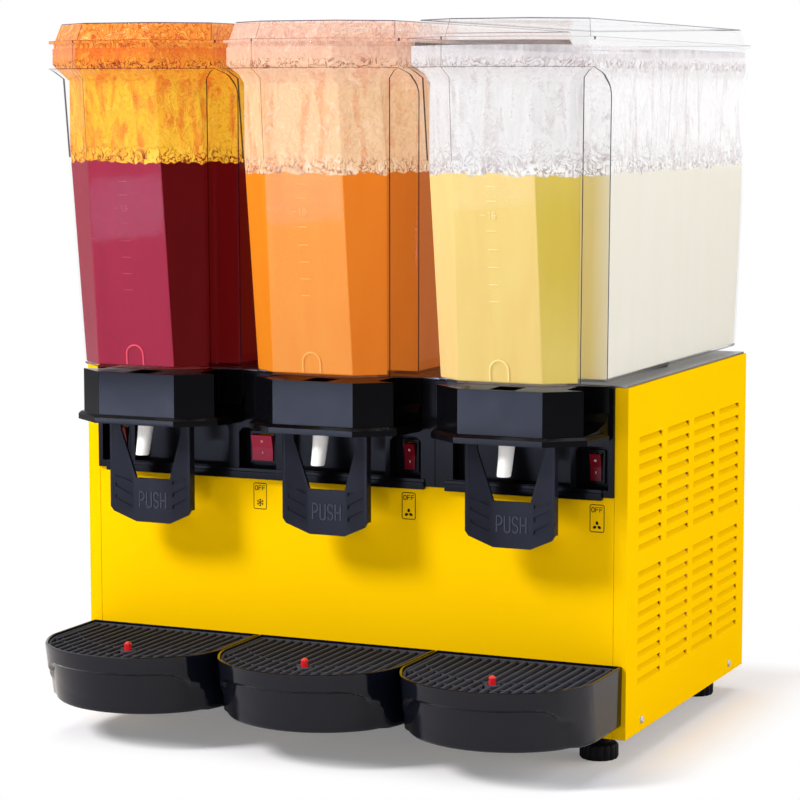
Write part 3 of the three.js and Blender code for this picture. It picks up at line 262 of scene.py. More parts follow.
def film(name, tones, cover, level, glow=0.6, ink=1.0, span=16.0, strewn=0.3, back=1.0):
    """Juice that clings above the drink, with a painted glow: soft vertical runs, and fine dark curls along
    the splash line with painted highlights beside them.
    """
    mat, tree, shader = material(name, {"Roughness": 0.14, "Specular IOR Level": 0.12})
    tone, streak, rim, curl, painted_glint = (rgb(*tone) for tone in tones)
    place = split(tree, own_place(tree))
    runs = clouds(tree, 1.0, (70.0, 70.0, 15.0), 5.0, 1.2)
    soft = blend(tree, spread(tree, runs, 0.49, 0.64), tone, streak)
    soft = blend(tree, spread(tree, place["Z"], lifted(SHOULDER - 12.0), lifted(TOP)), soft, rim)
    swirl = clouds(tree, 1.0, (120.0, 120.0, 95.0), 2.0, 1.8)
    off_middle = calc(tree, "ABSOLUTE", calc(tree, "SUBTRACT", swirl, 0.5))
    thin = spread(tree, off_middle, 0.045, 0.012)
    up = place["Z"]
    near = spread(tree, up, lifted(level + span), lifted(level + 4), strewn, 1.0)
    band = spread(tree, up, lifted(RIM + 5), lifted(RIM + 10), 1.0, strewn)
    above_rim = spread(tree, up, lifted(RIM - 1), lifted(RIM))
    where = calc(tree, "MAXIMUM", near, calc(tree, "MULTIPLY", band, above_rim))
    lines = calc(tree, "MULTIPLY", thin, calc(tree, "MULTIPLY", where, ink))
    # Painted highlights on the light side of the curls, near the splash line
    light = calc(tree, "MULTIPLY", spread(tree, swirl, 0.58, 0.66), calc(tree, "MULTIPLY", near, 0.7))
    colour = blend(tree, lines, blend(tree, light, soft, painted_glint), curl)
    painted_glow(tree, shader, colour, glow)
    share = calc(tree, "ADD", spread(tree, runs, 0.4, 0.66, cover[0], cover[1]), lines, clamp=True)
    kept = spread(tree, place["Y"], (SHIFT.y + 5.0) * MM, (SHIFT.y + 80.0) * MM, 1.0, back)
    tree.links.new(calc(tree, "MULTIPLY", share, kept), shader.inputs["Alpha"])
    roughened(tree, shader, calc(tree, "ADD", runs, swirl), 0.5, 0.002)
    return mat


# World and floor
def make_world():
    """White wherever the camera, a gloss or a clear wall sees the studio, and a soft fill elsewhere."""
    world = bpy.data.worlds.new("studio")
    bpy.context.scene.world = world
    world.use_nodes = True
    tree = world.node_tree
    tree.nodes.clear()
    fill = node(tree, "Background", {"Color": (0.95, 0.97, 1.0, 1.0), "Strength": FILL})
    white = node(tree, "Background", {"Color": (1.0, 1.0, 1.0, 1.0), "Strength": 1.0})
    path = node(tree, "LightPath").outputs
    seen = calc(tree, "MAXIMUM", path["Is Camera Ray"], path["Is Transmission Ray"])
    seen = calc(tree, "MAXIMUM", seen, path["Is Glossy Ray"])
    mix = node(tree, "MixShader", {0: seen, 1: fill.outputs[0], 2: white.outputs[0]})
    node(tree, "OutputWorld", {"Surface": mix.outputs[0]})


def make_floor():
    """A pale floor that keeps the shadows and runs into the white background further out."""
    reach, half_width, half_depth, middle_y, fade = 12.0, 0.28, 0.24, 0.06, 0.08
    mesh = bpy.data.meshes.new("floor")
    corners = [(x * reach, y * reach, 0) for x, y in ((-1, -1), (1, -1), (1, 1), (-1, 1))]
    mesh.from_pydata(corners, [], [(0, 1, 2, 3)])
    floor = add_object("floor", mesh)
    mat, tree, _ = material("floor_white", {})
    tree.nodes.clear()
    seen = node(tree, "LightPath").outputs["Is Camera Ray"]
    grain = clouds(tree, 14.0, detail=2.0)
    pale = blend(tree, grain, (0.86, 0.85, 0.89, 1.0), (0.89, 0.88, 0.92, 1.0))
    matt = node(tree, "BsdfDiffuse", {"Color": pale})
    lift = node(tree, "Emission", {"Strength": calc(tree, "MULTIPLY", seen, FLOOR_LIFT)})
    lit = node(tree, "AddShader", {0: matt.outputs[0], 1: lift.outputs[0]})
    place = split(tree, own_place(tree))
    beside = calc(tree, "SUBTRACT", calc(tree, "ABSOLUTE", place["X"]), half_width)
    before = calc(tree, "ABSOLUTE", calc(tree, "SUBTRACT", place["Y"], middle_y))
    distance = calc(tree, "MAXIMUM", beside, calc(tree, "SUBTRACT", before, half_depth))
    plain = node(tree, "Emission")
    hidden = calc(tree, "MULTIPLY", spread(tree, distance, 0.0, fade, kind="SMOOTHSTEP"), seen)
    mix = node(tree, "MixShader", {0: hidden, 1: lit.outputs[0], 2: plain.outputs[0]})
    node(tree, "OutputMaterial", {"Surface": mix.outputs[0]})
    mesh.materials.append(mat)


# Mesh code
# Degrees: edges below the first are smooth, faces below the second are one, edges above the third get rounds
SMOOTH_TURN, FLAT_TURN, SHARP_TURN = 32.0, 1.2, 28.0
# Metres: points closer than this are one
WELD, NODE_WELD, SLIVER = 0.00002, 0.00001, 0.000005
# Parts of a rounded corner, and the length that long sides are split into
STEPS, FINE_STEP = 4, 1.8


def flat_shading(mesh, angle):
    """Lets large flat faces set the shading where they meet the small faces of a rounded edge."""
    limit = cos(radians(angle))
    around = [[] for _ in mesh.vertices]
    for face in mesh.polygons:
        for index in face.vertices:
            around[index].append((face.normal.copy(), face.area))
    normals = []
    for face in mesh.polygons:
        own = face.normal
        for index in face.vertices:
            near = (normal * area for normal, area in around[index] if normal.dot(own) > limit)
            total = sum(near, Vector())
            normals.append(total.normalized() if total.length > 0 else own)
    mesh.normals_split_custom_set(normals)


def link_mesh(name, mesh, mats, angle=SMOOTH_TURN):
    for mat in mats:
        mesh.materials.append(mat)
    mesh.polygons.foreach_set("use_smooth", [True] * len(mesh.polygons))
    mesh.set_sharp_from_angle(angle=radians(angle))
    flat_shading(mesh, angle)
    return add_object(name, mesh)


def mesh_from(name, verts, faces, mats, bay_x=0.0, face_mats=None, angle=SMOOTH_TURN):
    """A piece from points in millimetres, in its bay."""
    mesh = bpy.data.meshes.new(name)
    shift = SHIFT + Vector((bay_x, 0, 0))
    mesh.from_pydata([(Vector(v) + shift) * MM for v in verts], [], faces)
    if face_mats:
        mesh.polygons.foreach_set("material_index", face_mats)
    bm = bmesh.new()
    bm.from_mesh(mesh)
    bmesh.ops.remove_doubles(bm, verts=bm.verts, dist=WELD)
    bmesh.ops.dissolve_degenerate(bm, edges=bm.edges, dist=SLIVER)
    bmesh.ops.recalc_face_normals(bm, faces=bm.faces)
    bm.to_mesh(mesh)
    bm.free()
    return link_mesh(name, mesh, mats, angle)


def refined(node_name, name, mat, body, width, adjust=None):
    """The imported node's own shape with its sharp edges rounded."""
    mesh = frame["nodes"][node_name].data.copy()
    mesh.name = name
    mesh.materials.clear()
    bm = bmesh.new()
    bm.from_mesh(mesh)
    for vert in bm.verts if adjust else ():
        vert.co = adjust(vert.co)
    bmesh.ops.remove_doubles(bm, verts=bm.verts, dist=NODE_WELD)
    bmesh.ops.dissolve_limit(bm, angle_limit=radians(FLAT_TURN), verts=bm.verts, edges=bm.edges)
    limit = radians(SHARP_TURN)
    sharp = [e for e in bm.edges if len(e.link_faces) == 2 and e.calc_face_angle(0) > limit]
    bmesh.ops.bevel(bm, geom=sharp, offset=width * MM, segments=2, profile=0.5, affect="EDGES",
                    clamp_overlap=True)
    bm.to_mesh(mesh)
    bm.free()
    for key in [a.name for a in mesh.attributes if a.name.startswith("custom_normal")]:
        mesh.attributes.remove(mesh.attributes[key])
    piece = link_mesh(name, mesh, [mat])
    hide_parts(node_name)
    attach(piece, body)


def rounded(corners):
    """An outline from corners (x, y, radius), each rounded into STEPS + 1 points."""
    points = []
    count = len(corners)
    for i, (x, y, radius) in enumerate(corners):
        here = Vector((x, y))
        before = Vector(corners[i - 1][:2]) - here
        after = Vector(corners[(i + 1) % count][:2]) - here
        if radius <= 0 or before.length < 1e-4 or after.length < 1e-4:
            points += [(x, y)] * (STEPS + 1)
            continue
        half = before.angle(after) / 2
        reach = min(radius / max(tan(half), 1e-3), 0.45 * before.length, 0.45 * after.length)
        start, end = here + before.normalized() * reach, here + after.normalized() * reach
        points += swept(start, here, end, STEPS, STEPS + 1)
    return points


def swept(start, bend_at, end, steps, count):
    """The first points of a curve between two places that is drawn towards a third."""
    return [tuple(start * (1 - t) ** 2 + bend_at * (2 * t * (1 - t)) + end * t ** 2)
            for t in (k / steps for k in range(count))]


def inset(points, distance):
    out = []
    for i, point in enumerate(points):
        here = Vector(point[:2])
        first = (here - Vector(points[i - 1][:2])).normalized()
        second = (Vector(points[(i + 1) % len(points)][:2]) - here).normalized()
        share = distance / (1 + first.dot(second))
        out.append((here.x - (first.y + second.y) * share, here.y + (first.x + second.x) * share))
    return out


def loft_faces(rows, size, ends="capped", start=0):
    """Faces between rows of points, whose two ends are capped, left open or joined."""
    faces = []
    for row in range(rows if ends == "joined" else rows - 1):
        low, high = start + row * size, start + (row + 1) % rows * size
        faces += [(low + i, low + (i + 1) % size, high + (i + 1) % size, high + i) for i in range(size)]
    if ends == "capped":
        faces.append(tuple(start + i for i in range(size))[::-1])
        faces.append(tuple(start + (rows - 1) * size + i for i in range(size)))
    return faces


def loft(rows, ends="capped"):
    """Points and faces through rows of (height, outline)."""
    verts = [(x, y, z) for z, points in rows for x, y in points]
    return verts, loft_faces(len(rows), len(rows[0][1]), ends)


def face_places(faces, rows):
    """Row, corner and step of each face of a loft through rounded outlines."""
    for index in range(len(faces)):
        row, column = divmod(index, len(rows[0][1]))
        yield row, *divmod(column, STEPS + 1)


def finely(points, other):
    """Splits an outline's long sides into steps; a second outline of the same corners sets how many."""
    out = []
    for i, (x, y) in enumerate(points):
        nx, ny = points[(i + 1) % len(points)]
        ox, oy = other[i]
        px, py = other[(i + 1) % len(other)]
        count = max(1, round(hypot(px - ox, py - oy) / FINE_STEP))
        out += [(x + (nx - x) * k / count, y + (ny - y) * k / count) for k in range(count)]
    return out


# Bowls
FLOOR, SHOULDER, RIM, TOP = 317.0, 579.0, 587.5, 610.0
FACET_LOW, FACET_HIGH, BOX_LOW, BOX_HIGH = 71.0, 96.7, 11.0, 28.0
GROOVE_LOW, GROOVE_HIGH, GROOVE_DEPTH, GROOVE_DRAFT = 48.0, 67.0, 18.0, 2.0
WALL, WET_WALL = 3.0, 1.0
MIDDLE_Y, DOME_Y, THROAT = 140.0, 190.0, 57.5
# The grip grooves' arches, and the shares of their height where the bowl has a row of points
ARCH_HEIGHT = 24.5
ARCH_SHARES = (0, 0.15, 0.3, 0.42, 0.54, 0.653, 0.75, 0.83, 0.89, 0.94, 0.975)
# Half width of the front facet, the tower and the box; how far forward each of them starts; the rear
PLANS = (
    (FLOOR, (39.2, 68.2, 76.5, FACET_LOW, GROOVE_LOW, BOX_LOW, 376.0)),
    (SHOULDER, (36.8, 76.7, 84.2, FACET_HIGH, GROOVE_HIGH, BOX_HIGH, 383.5)),
    (RIM, (38.4, 85.4, 85.4, 110.5, 73.7, BOX_HIGH, 384.3)),
)
# The bowl's corners, in the order of its outline, that get a painted dark edge
TOWER_EDGES, FACET_EDGES = {1, 4, 9, 12}, {13}


def plan_at(z):
    """The plan's eight corners at a height, from the right end of the front facet round to its left end."""
    sizes = PLANS[-1][1]
    for (z0, low), (z1, high) in reversed(list(zip(PLANS, PLANS[1:]))):
        if z <= z1:
            share = (z - z0) / (z1 - z0)
            sizes = [a + (b - a) * share for a, b in zip(low, high)]
    facet, tower, box, front, corner, box_front, rear = sizes
    half = [(facet, -front), (tower, -corner), (box, -box_front), (box, rear)]
    return half + [(-x, y) for x, y in reversed(half)]


def bowl_outline(z, wall=0.0):
    """Outline of the bowl's wall at a height, with the grip grooves behind its faceted tower."""
    plan = plan_at(z)
    (tower, corner), (_, box_front) = plan[1:3]
    f, t, b, r = (inset(plan, wall) if wall else plan)[:4]
    lift = max(0.0, z - (RIM - ARCH_HEIGHT)) / ARCH_HEIGHT
    reach = sqrt(max(0.0, 1 - lift * lift)) if z < RIM else 0.0
    depth = min(1.0, reach * 1.7)
    back = corner + (box_front - corner) * reach
    floor = tower - GROOVE_DEPTH - wall

    def towards(x, y):
        return (t[0] + (x - t[0]) * depth, t[1] + (y - t[1]) * depth)

    slope = (b[0] - t[0]) / (b[1] - t[1])
    tower_y = corner - wall
    tower_x = f[0] + (t[0] - f[0]) * (tower_y - f[1]) / (t[1] - f[1])
    tower_radius = 1.5 if wall else 2.4
    t_cut = towards(tower_x, tower_y)
    g1 = towards(floor, corner + GROOVE_DRAFT - wall)
    g2 = towards(floor, back - GROOVE_DRAFT + wall)
    e_y = back + wall
    e = towards(b[0] + slope * min(0.0, e_y - b[1]), e_y)
    guard = (max(b[0], e[0]), max(b[1], e[1] + 3.0))
    corners = [(*f, 3.0), (*t_cut, tower_radius), (*g1, 7.0), (*g2, 7.0), (*e, 2.8), (*guard, 0.0),
               (*r, 12.0)]
    corners += [(-x, y, radius) for x, y, radius in reversed(corners)]
    return rounded(corners)


def wall_at(z, level):
    """Wall as it looks: juice fills it optically up to the level, and above that it shows whole."""
    share = min(1.0, max(0.0, (z - level - 10.0) / (SHOULDER - level - 10.0)))
    return WET_WALL + (WALL - WET_WALL) * share


def bowl_heights(low):
    start, steps = RIM - ARCH_HEIGHT, 18
    heights = [low + (start - 1 - low) * i / steps for i in range(steps)]
    heights += [start + ARCH_HEIGHT * share for share in ARCH_SHARES]
    return heights + [RIM + 0.01]


def throat_ring(points, z, radius):
    """The floor's hole for the cooling dome, a point for each point of the outline round it."""
    ring = []
    for x, y in points:
        away = Vector((x, y - DOME_Y)).normalized() * radius
        ring.append((away.x, DOME_Y + away.y))
    return (z, ring)


def drawn_in(points, distance):
    """Moves an outline's points by a distance towards the bowl's middle, mostly sideways."""
    out = []
    for x, y in points:
        away = Vector((x, (y - MIDDLE_Y) * 0.35))
        away = away.normalized() * distance if away.length > 1e-6 else Vector((0, 0))
        out.append((x - away.x, y - away.y))
    return out


def make_bowl(side, bay_x):
    level = LEVELS[side]
    foot = bowl_outline(FLOOR)
    rows = [throat_ring(foot, FLOOR + 2.5, THROAT - 0.1), throat_ring(foot, FLOOR, THROAT)]
    rows += [(FLOOR + lift, drawn_in(bowl_outline(FLOOR + lift), pull))
             for lift, pull in ((0.0, 2.5), (0.3, 1.3), (0.9, 0.5))]
    rows += [(z, bowl_outline(z)) for z in bowl_heights(FLOOR + 2.5)]
    rim_row = len(rows) - 1
    rim = ((RIM + 0.8, 0), (TOP - 0.8, 0), (TOP - 0.2, 0.3), (TOP, 0.9), (TOP, WALL - 0.9), (TOP - 0.8, WALL))
    rows += [(z, bowl_outline(z, wall)) for z, wall in rim]
    outer_count = len(rows)
    rows += [(z, bowl_outline(z, wall_at(z, level))) for z in reversed(bowl_heights(FLOOR + 3.5))]
    inner_foot = bowl_outline(FLOOR + 2.5, WET_WALL)
    rows += [(FLOOR + lift, drawn_in(inner_foot, pull)) for lift, pull in ((2.9, 0.5), (2.5, 1.5))]
    verts, faces = loft(rows, "joined")
    # Faces along the tower's and facet's edges, at the rim corners and at the foot get painted dark lines
    face_mats = []
    for row, corner, step in face_places(faces, rows):
        z = rows[row][0]
        turning = 4 < row < outer_count - 2 and step in (1, 2)
        edge = turning and corner in TOWER_EDGES and (corner < 9 or z > level)
        line = turning and corner in FACET_EDGES and z > level
        rim_line = (row == rim_row and corner in (0, 12, 13)) or row in (2, 3, 4)
        face_mats.append(1 if edge else 2 if line or rim_line else 0)
    mats = [MATS["clear_bowl"], CLEAR_EDGE_SHADE, CORNER_SHADE_LINES[side]]
    bowl = mesh_from(f"bowl_shell_{side}", verts, faces, mats, bay_x, face_mats)
    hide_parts(f"bowl_{side}")
    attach(bowl, f"bowl_body_{side}")


def splash(side, x, y):
    """How high the drink has splashed up the wall at a place, over its mean level."""
    seed = {"left": 3.0, "middle": 11.0, "right": 23.0}[side]
    height = 0.0
    for scale, gain in ((0.03, 5.0), (0.09, 3.6), (0.28, 2.4), (0.7, 1.2)):
        height += (abs(noise.noise(Vector((x * scale + seed, y * scale, seed)))) - 0.2) * gain
    return height


def make_drink(side, bay_x):
    level, gap, count, rings = LEVELS[side], WET_WALL + 0.15, 12, 9
    model = bowl_outline(level, gap)
    top = finely(model, model)
    rows = [(FLOOR + 2.7, finely(drawn_in(bowl_outline(FLOOR + 2.7, gap), 1.0), model))]
    for i in range(count):
        z = FLOOR + 3.7 + (level - 9.0 - FLOOR - 3.7) * i / (count - 1)
        rows.append((z, finely(bowl_outline(z, gap), model)))
    verts = loft(rows)[0]
    for ring in range(rings):
        share = ring / rings
        for x, y in top:
            px, py = x * (1 - share), MIDDLE_Y + (y - MIDDLE_Y) * (1 - share * 0.97)
            height = splash(side, x, y) * (1 - share) ** 3
            if ring:
                height += noise.noise(Vector((px * 0.05, py * 0.05, 4.0))) * 1.5
            verts.append((px, py, level + height))
    faces = loft_faces(len(rows) + rings, len(top))
    piece = mesh_from(f"juice_{side}", verts, faces, [DRINKS[side]], bay_x, angle=24.0)
    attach(piece, f"bowl_body_{side}")


def make_film(side, bay_x):
    level, count = LEVELS[side], 14
    model = bowl_outline(level, WET_WALL)

    def row(share, extra):
        z_mean = level + (TOP - 4 - level) * share
        outline = finely(bowl_outline(z_mean, wall_at(z_mean, level) + extra), model)
        fall = max(0.0, 1 - share * 6)
        return [(x, y, z_mean + (splash(side, x, y) - 0.5) * fall) for x, y in outline]

    rows = [row(i / count, 0.15) for i in range(count + 1)]
    rows += [row(i / count, 0.55) for i in reversed(range(count + 1))]
    faces = loft_faces(len(rows), len(rows[0]), "joined")
    piece = mesh_from(f"juice_film_{side}", sum(rows, []), faces, [FILMS[side]], bay_x)
    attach(piece, f"bowl_body_{side}")


# Lids
LID_SKIRT, LID_FLANGE_LOW, LID_FLANGE_HIGH, LID_TOP = 601.0, 610.3, 613.0, 628.5
LID_RADII = (2.5, 2.5, 4.0, 8.0, 8.0, 4.0, 2.5, 2.5)


def make_lid(side, bay_x):
    plan = plan_at(TOP)

    def ring(wall, back=0.0):
        """The lid's outline, its front set back by a length."""
        return rounded([(x, y + (back if y < plan[1][1] + 20 else 0.0), radius)
                        for (x, y), radius in zip(inset(plan, wall) if wall else plan, LID_RADII)])

    foot, top_in = 5.0, 8.0
    low, high = LID_FLANGE_LOW, LID_FLANGE_HIGH
    rows = [(LID_TOP - 2.5, ring(top_in + 2.5, 5.0))]
    rows += [(z, ring(wall)) for z, wall in
             ((high, WALL + 2.8), (LID_SKIRT, WALL + 2.8), (LID_SKIRT, WALL + 0.9), (low, WALL + 0.9),
              (low, 0.4), (low + 0.4, 0.0), (high - 0.5, 0.0), (high, 0.4), (high, foot))]
    rows += [(LID_TOP - 0.9, ring(top_in - 0.1, 4.8)), (LID_TOP, ring(top_in + 0.9, 5.2))]
    verts, faces = loft(rows)
    # Rows and corners of the lid that get painted dark lines
    top_edge, flange_lip, flange_side, slope = 10, 7, (5, 6, 7), 9
    face_mats = []
    for row, corner, step in face_places(faces, rows):
        at_corner = corner in (1, 6, 7) and step < STEPS
        edge = row == top_edge or (row in flange_side and at_corner)
        line = row == flange_lip or (row == slope and at_corner and step in (1, 2))
        face_mats.append(1 if edge else 2 if line else 0)
    mats = [LIDS[side], CLEAR_EDGE_SHADE, CORNER_SHADE_LINES[side]]
    lid = mesh_from(f"lid_clear_{side}", verts, faces, mats, bay_x, face_mats)
    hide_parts(f"lid_{side}")
    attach(lid, f"lid_body_{side}")


# Trays, grilles and nozzles
TRAY_HALF, TRAY_SIDE, TRAY_FRONT, TRAY_RIM, TRAY_BOTTOM = 88.5, 88.0, 149.3, 66.3, 11.5
TRAY_FOOT_SIDE, TRAY_FOOT_FRONT, TRAY_ROUND = 77.0, 139.7, 3.0
GRIP_HALF, GRIP_TOP, GRIP_RADIUS, GRIP_DEPTH, GRIP_EDGE = 80.0, 51.0, 26.0, 4.6, 3.5
GRILLE_TOP, GRILLE_BOTTOM, BAR_COUNT = 64.3, 59.3, 19
FLOAT_X, FLOAT_Y = 8.0, -105.0
BOW_COUNT = 72


def bow(x, half, side, front):
    """How far forward a tray's bowed front lies at x."""
    bulge = front - side
    radius = (half * half + bulge * bulge) / (2 * bulge)
    return radius - front - sqrt(max(0.0, radius * radius - x * x))


def tray_outline(half, side, front, back=0.3, corner=14.0):
    """Straight sides, rounded corners and one shallow arc across the front."""
    inner, steps = half - corner, 6
    arc = [(x, bow(x, half, side, front)) for x in
           (-inner + 2 * inner * i / BOW_COUNT for i in range(BOW_COUNT + 1))]

    def turn(sign):
        return swept(Vector((sign * half, -side + corner)), Vector((sign * half, -side)),
                     Vector((sign * inner, bow(inner, half, side, front))), steps, steps)

    return [(-half, -back)] + turn(-1) + arc + turn(1)[::-1] + [(half, -back)]


def grip_share(x, z):
    """0 outside the grip recess, 1 well inside it."""
    x = abs(x)
    if x > GRIP_HALF - GRIP_RADIUS and z > GRIP_TOP - GRIP_RADIUS:
        away = GRIP_RADIUS - hypot(x - GRIP_HALF + GRIP_RADIUS, z - GRIP_TOP + GRIP_RADIUS)
    else:
        away = min(GRIP_HALF - x, GRIP_TOP - z)
    share = min(1.0, max(0.0, away / GRIP_EDGE))
    return share * share * (3 - 2 * share)


def make_tray(side, bay_x):
    low, high, count = TRAY_BOTTOM + TRAY_ROUND, TRAY_RIM, 26

    def at(z, less=0.0):
        share = min(1.0, max(0.0, (z - low) / (high - low)))
        return (TRAY_HALF - 0.6 * (1 - share) - less,
                TRAY_FOOT_SIDE + (TRAY_SIDE - TRAY_FOOT_SIDE) * share - less,
                TRAY_FOOT_FRONT + (TRAY_FRONT - TRAY_FOOT_FRONT) * share - less)

    rows = []
    for turn in (90, 60, 30):
        a = radians(turn)
        rows.append((TRAY_BOTTOM + TRAY_ROUND * (1 - sin(a)),
                     tray_outline(*at(0, TRAY_ROUND * (1 - cos(a))))))
    for i in range(count + 1):
        z = low + (high - 1.4 - low) * i / count
        rows.append((z, tray_outline(*at(z))))
    # The rolled rim and the ledge for the grille
    for drop, less in ((0.5, 0.3), (0.1, 0.9), (0, 1.6), (0.5, 2.2), (7.3, 2.2), (7.3, 4.0)):
        rows.append((TRAY_RIM - drop, tray_outline(*at(TRAY_RIM, less), less + 0.3, 14.0 - less * 0.5)))
    # The inside of the bottom
    for lift, less, corner in ((7.0, 4.0, 12.0), (4.4, 5.0, 11.5), (3.5, 7.0, 11.0)):
        rows.append((TRAY_BOTTOM + lift, tray_outline(*at(TRAY_BOTTOM, less), less + 0.3, corner)))
    verts = []
    for index, (z, points) in enumerate(rows):
        for x, y in points:
            share = grip_share(x, z) if index <= count + 3 and y < -TRAY_FOOT_SIDE + 12 else 0.0
            inwards = Vector((-0.55 * x, -TRAY_FOOT_SIDE + 25.0 - y)).normalized() * GRIP_DEPTH * share
            verts.append((x + inwards.x, y + inwards.y, z))
    faces = loft_faces(len(rows), len(rows[0][1]))
    # Two tabs behind the tray
    for x0, x1 in ((-65.0, -45.0), (45.0, 65.0)):
        faces += loft_faces(2, 4, start=len(verts))
        verts += [(x, y, z) for z in (45.0, 47.5) for x, y in ((x0, -0.6), (x1, -0.6), (x1, 7.0), (x0, 7.0))]
    tray = mesh_from(f"tray_moulded_{side}", verts, faces, [TRAY_BLACK], bay_x)
    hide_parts(f"tray_{side}")
    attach(tray, f"tray_body_{side}")


def ring_at(x, y, radius, count):
    return [(x + radius * cos(tau * k / count), y + radius * sin(tau * k / count))
            for k in range(count)]


def make_grille(side, bay_x):
    """Rounded bars from back to front in a bowed frame, on two bowed cross ribs, with the float's tube."""
    less, width, bevel = 2.5, 2.6, 0.7
    half, flank, front = TRAY_HALF - less, TRAY_SIDE - less, TRAY_FRONT - less
    inside = (half - width, flank - width, front - width)
    edge = ((GRILLE_BOTTOM, 0.0), (GRILLE_TOP - bevel, 0.0), (GRILLE_TOP, bevel), (GRILLE_TOP, width - bevel),
            (GRILLE_TOP - bevel, width), (GRILLE_BOTTOM, width))
    verts, faces = loft([(z, tray_outline(half - cut, flank - cut, front - cut, 2.8 + cut, 12.0 - cut))
                         for z, cut in edge], "joined")
    pitch = (TRAY_HALF - 4.0) * 2 / BAR_COUNT
    profile = [(-1.2, 0.0), (1.2, 0.0), (1.5, 1.2), (1.5, 4.0), (1.0, 4.8), (0.0, 5.0), (-1.0, 4.8),
               (-1.5, 4.0), (-1.5, 1.2)]
    bar_end, tube_room = -4.5, 8.0
    for i in range(BAR_COUNT):
        x = (i - (BAR_COUNT - 1) / 2) * pitch
        near = bow(min(abs(x) + 1.5, inside[0]), *inside) - 1.0
        if abs(x) > half - 14.0:
            near = max(near, -flank + 2.0)
        spans = [(near, bar_end)]
        if abs(x - FLOAT_X) < tube_room:
            spans = [(near, FLOAT_Y - tube_room), (FLOAT_Y + tube_room, bar_end)]
        for span in spans:
            start = len(verts)
            verts += [(x + px, y, GRILLE_BOTTOM + pz) for y in span for px, pz in profile]
            faces += loft_faces(2, len(profile), start=start)
    rib_half, rib_top, rib_steps = 0.9, GRILLE_TOP - 1.4, 40
    for back in (27.0, 55.0):
        start = len(verts)
        for k in range(rib_steps + 1):
            x = inside[0] * (2 * k / rib_steps - 1)
            y = bow(x, half, flank, front) + back
            verts += [(x, y - rib_half, GRILLE_BOTTOM), (x, y + rib_half, GRILLE_BOTTOM),
                      (x, y + rib_half, rib_top), (x, y - rib_half, rib_top)]
        faces += loft_faces(rib_steps + 1, 4, "open", start)
    tube = ((GRILLE_BOTTOM, 7.0), (GRILLE_TOP - 0.6, 7.0), (GRILLE_TOP, 6.4), (GRILLE_TOP, 4.6),
            (GRILLE_TOP - 0.5, 4.1), (GRILLE_BOTTOM, 4.1))
    count = 24
    faces += loft_faces(len(tube), count, "joined", len(verts))
    verts += loft([(z, ring_at(FLOAT_X, FLOAT_Y, radius, count)) for z, radius in tube])[0]
    grille = mesh_from(f"grille_bars_{side}", verts, faces, [GRILLE_GREY_SHEEN], bay_x)
    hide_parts(f"grille_{side}")
    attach(grille, f"grille_body_{side}")


def make_nozzle(side, bay_x):
    """A soft tube that hangs from a sleeve under the bowl's outlet and leans forwards."""
    top, length, lean, outlet_y = FLOOR - 11.0, 69.0, 10.0, -50.5
    tip, neck, sleeve_end = top - length, top - 23.0, top - 20.0
    knee = (neck + tip) / 2 + 6.2
    wide, narrow, bore, count = 7.8, 6.2, 4.6, 32

    def lean_at(z):
        return outlet_y - lean * max(0.0, (neck - z) / (neck - tip)) ** 1.5

    rows = [(tip + 6.0, bore), (tip + 0.5, bore), (tip, 5.0), (tip, 5.4), (tip + 0.3, 5.9)]
    rows.append((tip + 1.0, narrow))
    for i in range(1, 15):
        z = tip + 1.0 + (neck - tip - 1.0) * i / 14
        rows.append((z, wide + (narrow - wide) * (neck - z) / (neck - tip)))
    rows += [(neck + 1.5, 9.0), (sleeve_end, 10.2), (sleeve_end + 0.8, 10.5), (top - 0.8, 10.5), (top, 9.9),
             (top, 8.4), (sleeve_end + 1.0, 8.4), (sleeve_end, bore), (knee, bore), (tip + 6.0, bore)]
    verts, faces = loft([(z, ring_at(0.0, lean_at(z), radius, count)) for z, radius in rows], "open")
    piece = mesh_from(f"nozzle_soft_{side}", verts, faces, [MATS["white_silicone"]], bay_x, angle=50.0)
    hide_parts(f"nozzle_{side}")
    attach(piece, f"bowl_body_{side}")


# Levers and feet
PLATE_TOP, PLATE_DROP = 219.0, 6.5
FOOT_LOBES, LOBE_DEPTH = 16, 0.075


def lowered_plate(place):
    """Lowers the top edge of a lever's front plate, so that the panel shows over it."""
    z = place.z / MM - SHIFT.z
    if abs(z - PLATE_TOP) < 1.0:
        place.z -= PLATE_DROP * MM
    return place


def make_foot(name):
    """A scalloped knob on a screw, in the place of a packed foot."""
    low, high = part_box(f"foot_{name}")
    x, y = (low[0] + high[0]) / 2 / MM - SHIFT.x, (low[1] + high[1]) / 2 / MM - SHIFT.y
    reach, top = (high[0] - low[0]) / 2 / MM, high[2] / MM
    # Height over the floor, share of the knob's radius, depth of the scallops
    rows = ((0.0, 0.90, 0.5), (0.8, 0.97, 0.9), (2.2, 1.0, 1.0), (11.5, 1.0, 1.0), (13.4, 0.96, 0.8),
            (14.6, 0.86, 0.3), (15.2, 0.62, 0.0), (19.5, 0.5, 0.0), (20.0, 0.46, 0.0), (20.0, 0.24, 0.0),
            (top, 0.24, 0.0))
    count = FOOT_LOBES * 6
    verts = []
    for z, share, wave in rows:
        for k in range(count):
            a = tau * k / count
            radius = reach * (share - LOBE_DEPTH * wave * (1 - abs(cos(a * FOOT_LOBES / 2))))
            verts.append((x + radius * cos(a), y + radius * sin(a), z - SHIFT.z))
    faces = loft_faces(len(rows), count)
    foot = mesh_from(f"foot_knob_{name}", verts, faces, [MATS["foot_black"]], angle=40.0)
    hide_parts(f"foot_{name}")
    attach(foot, body_of(f"foot_{name}"))


# Lettering and marks
def bend(x, z, wide, high, start, end, steps=8):
    """Points of an oval's arc between two angles in degrees."""
    turns = [radians(start + (end - start) * k / steps) for k in range(steps + 1)]
    return [(x + wide * cos(a), z + high * sin(a)) for a in turns]


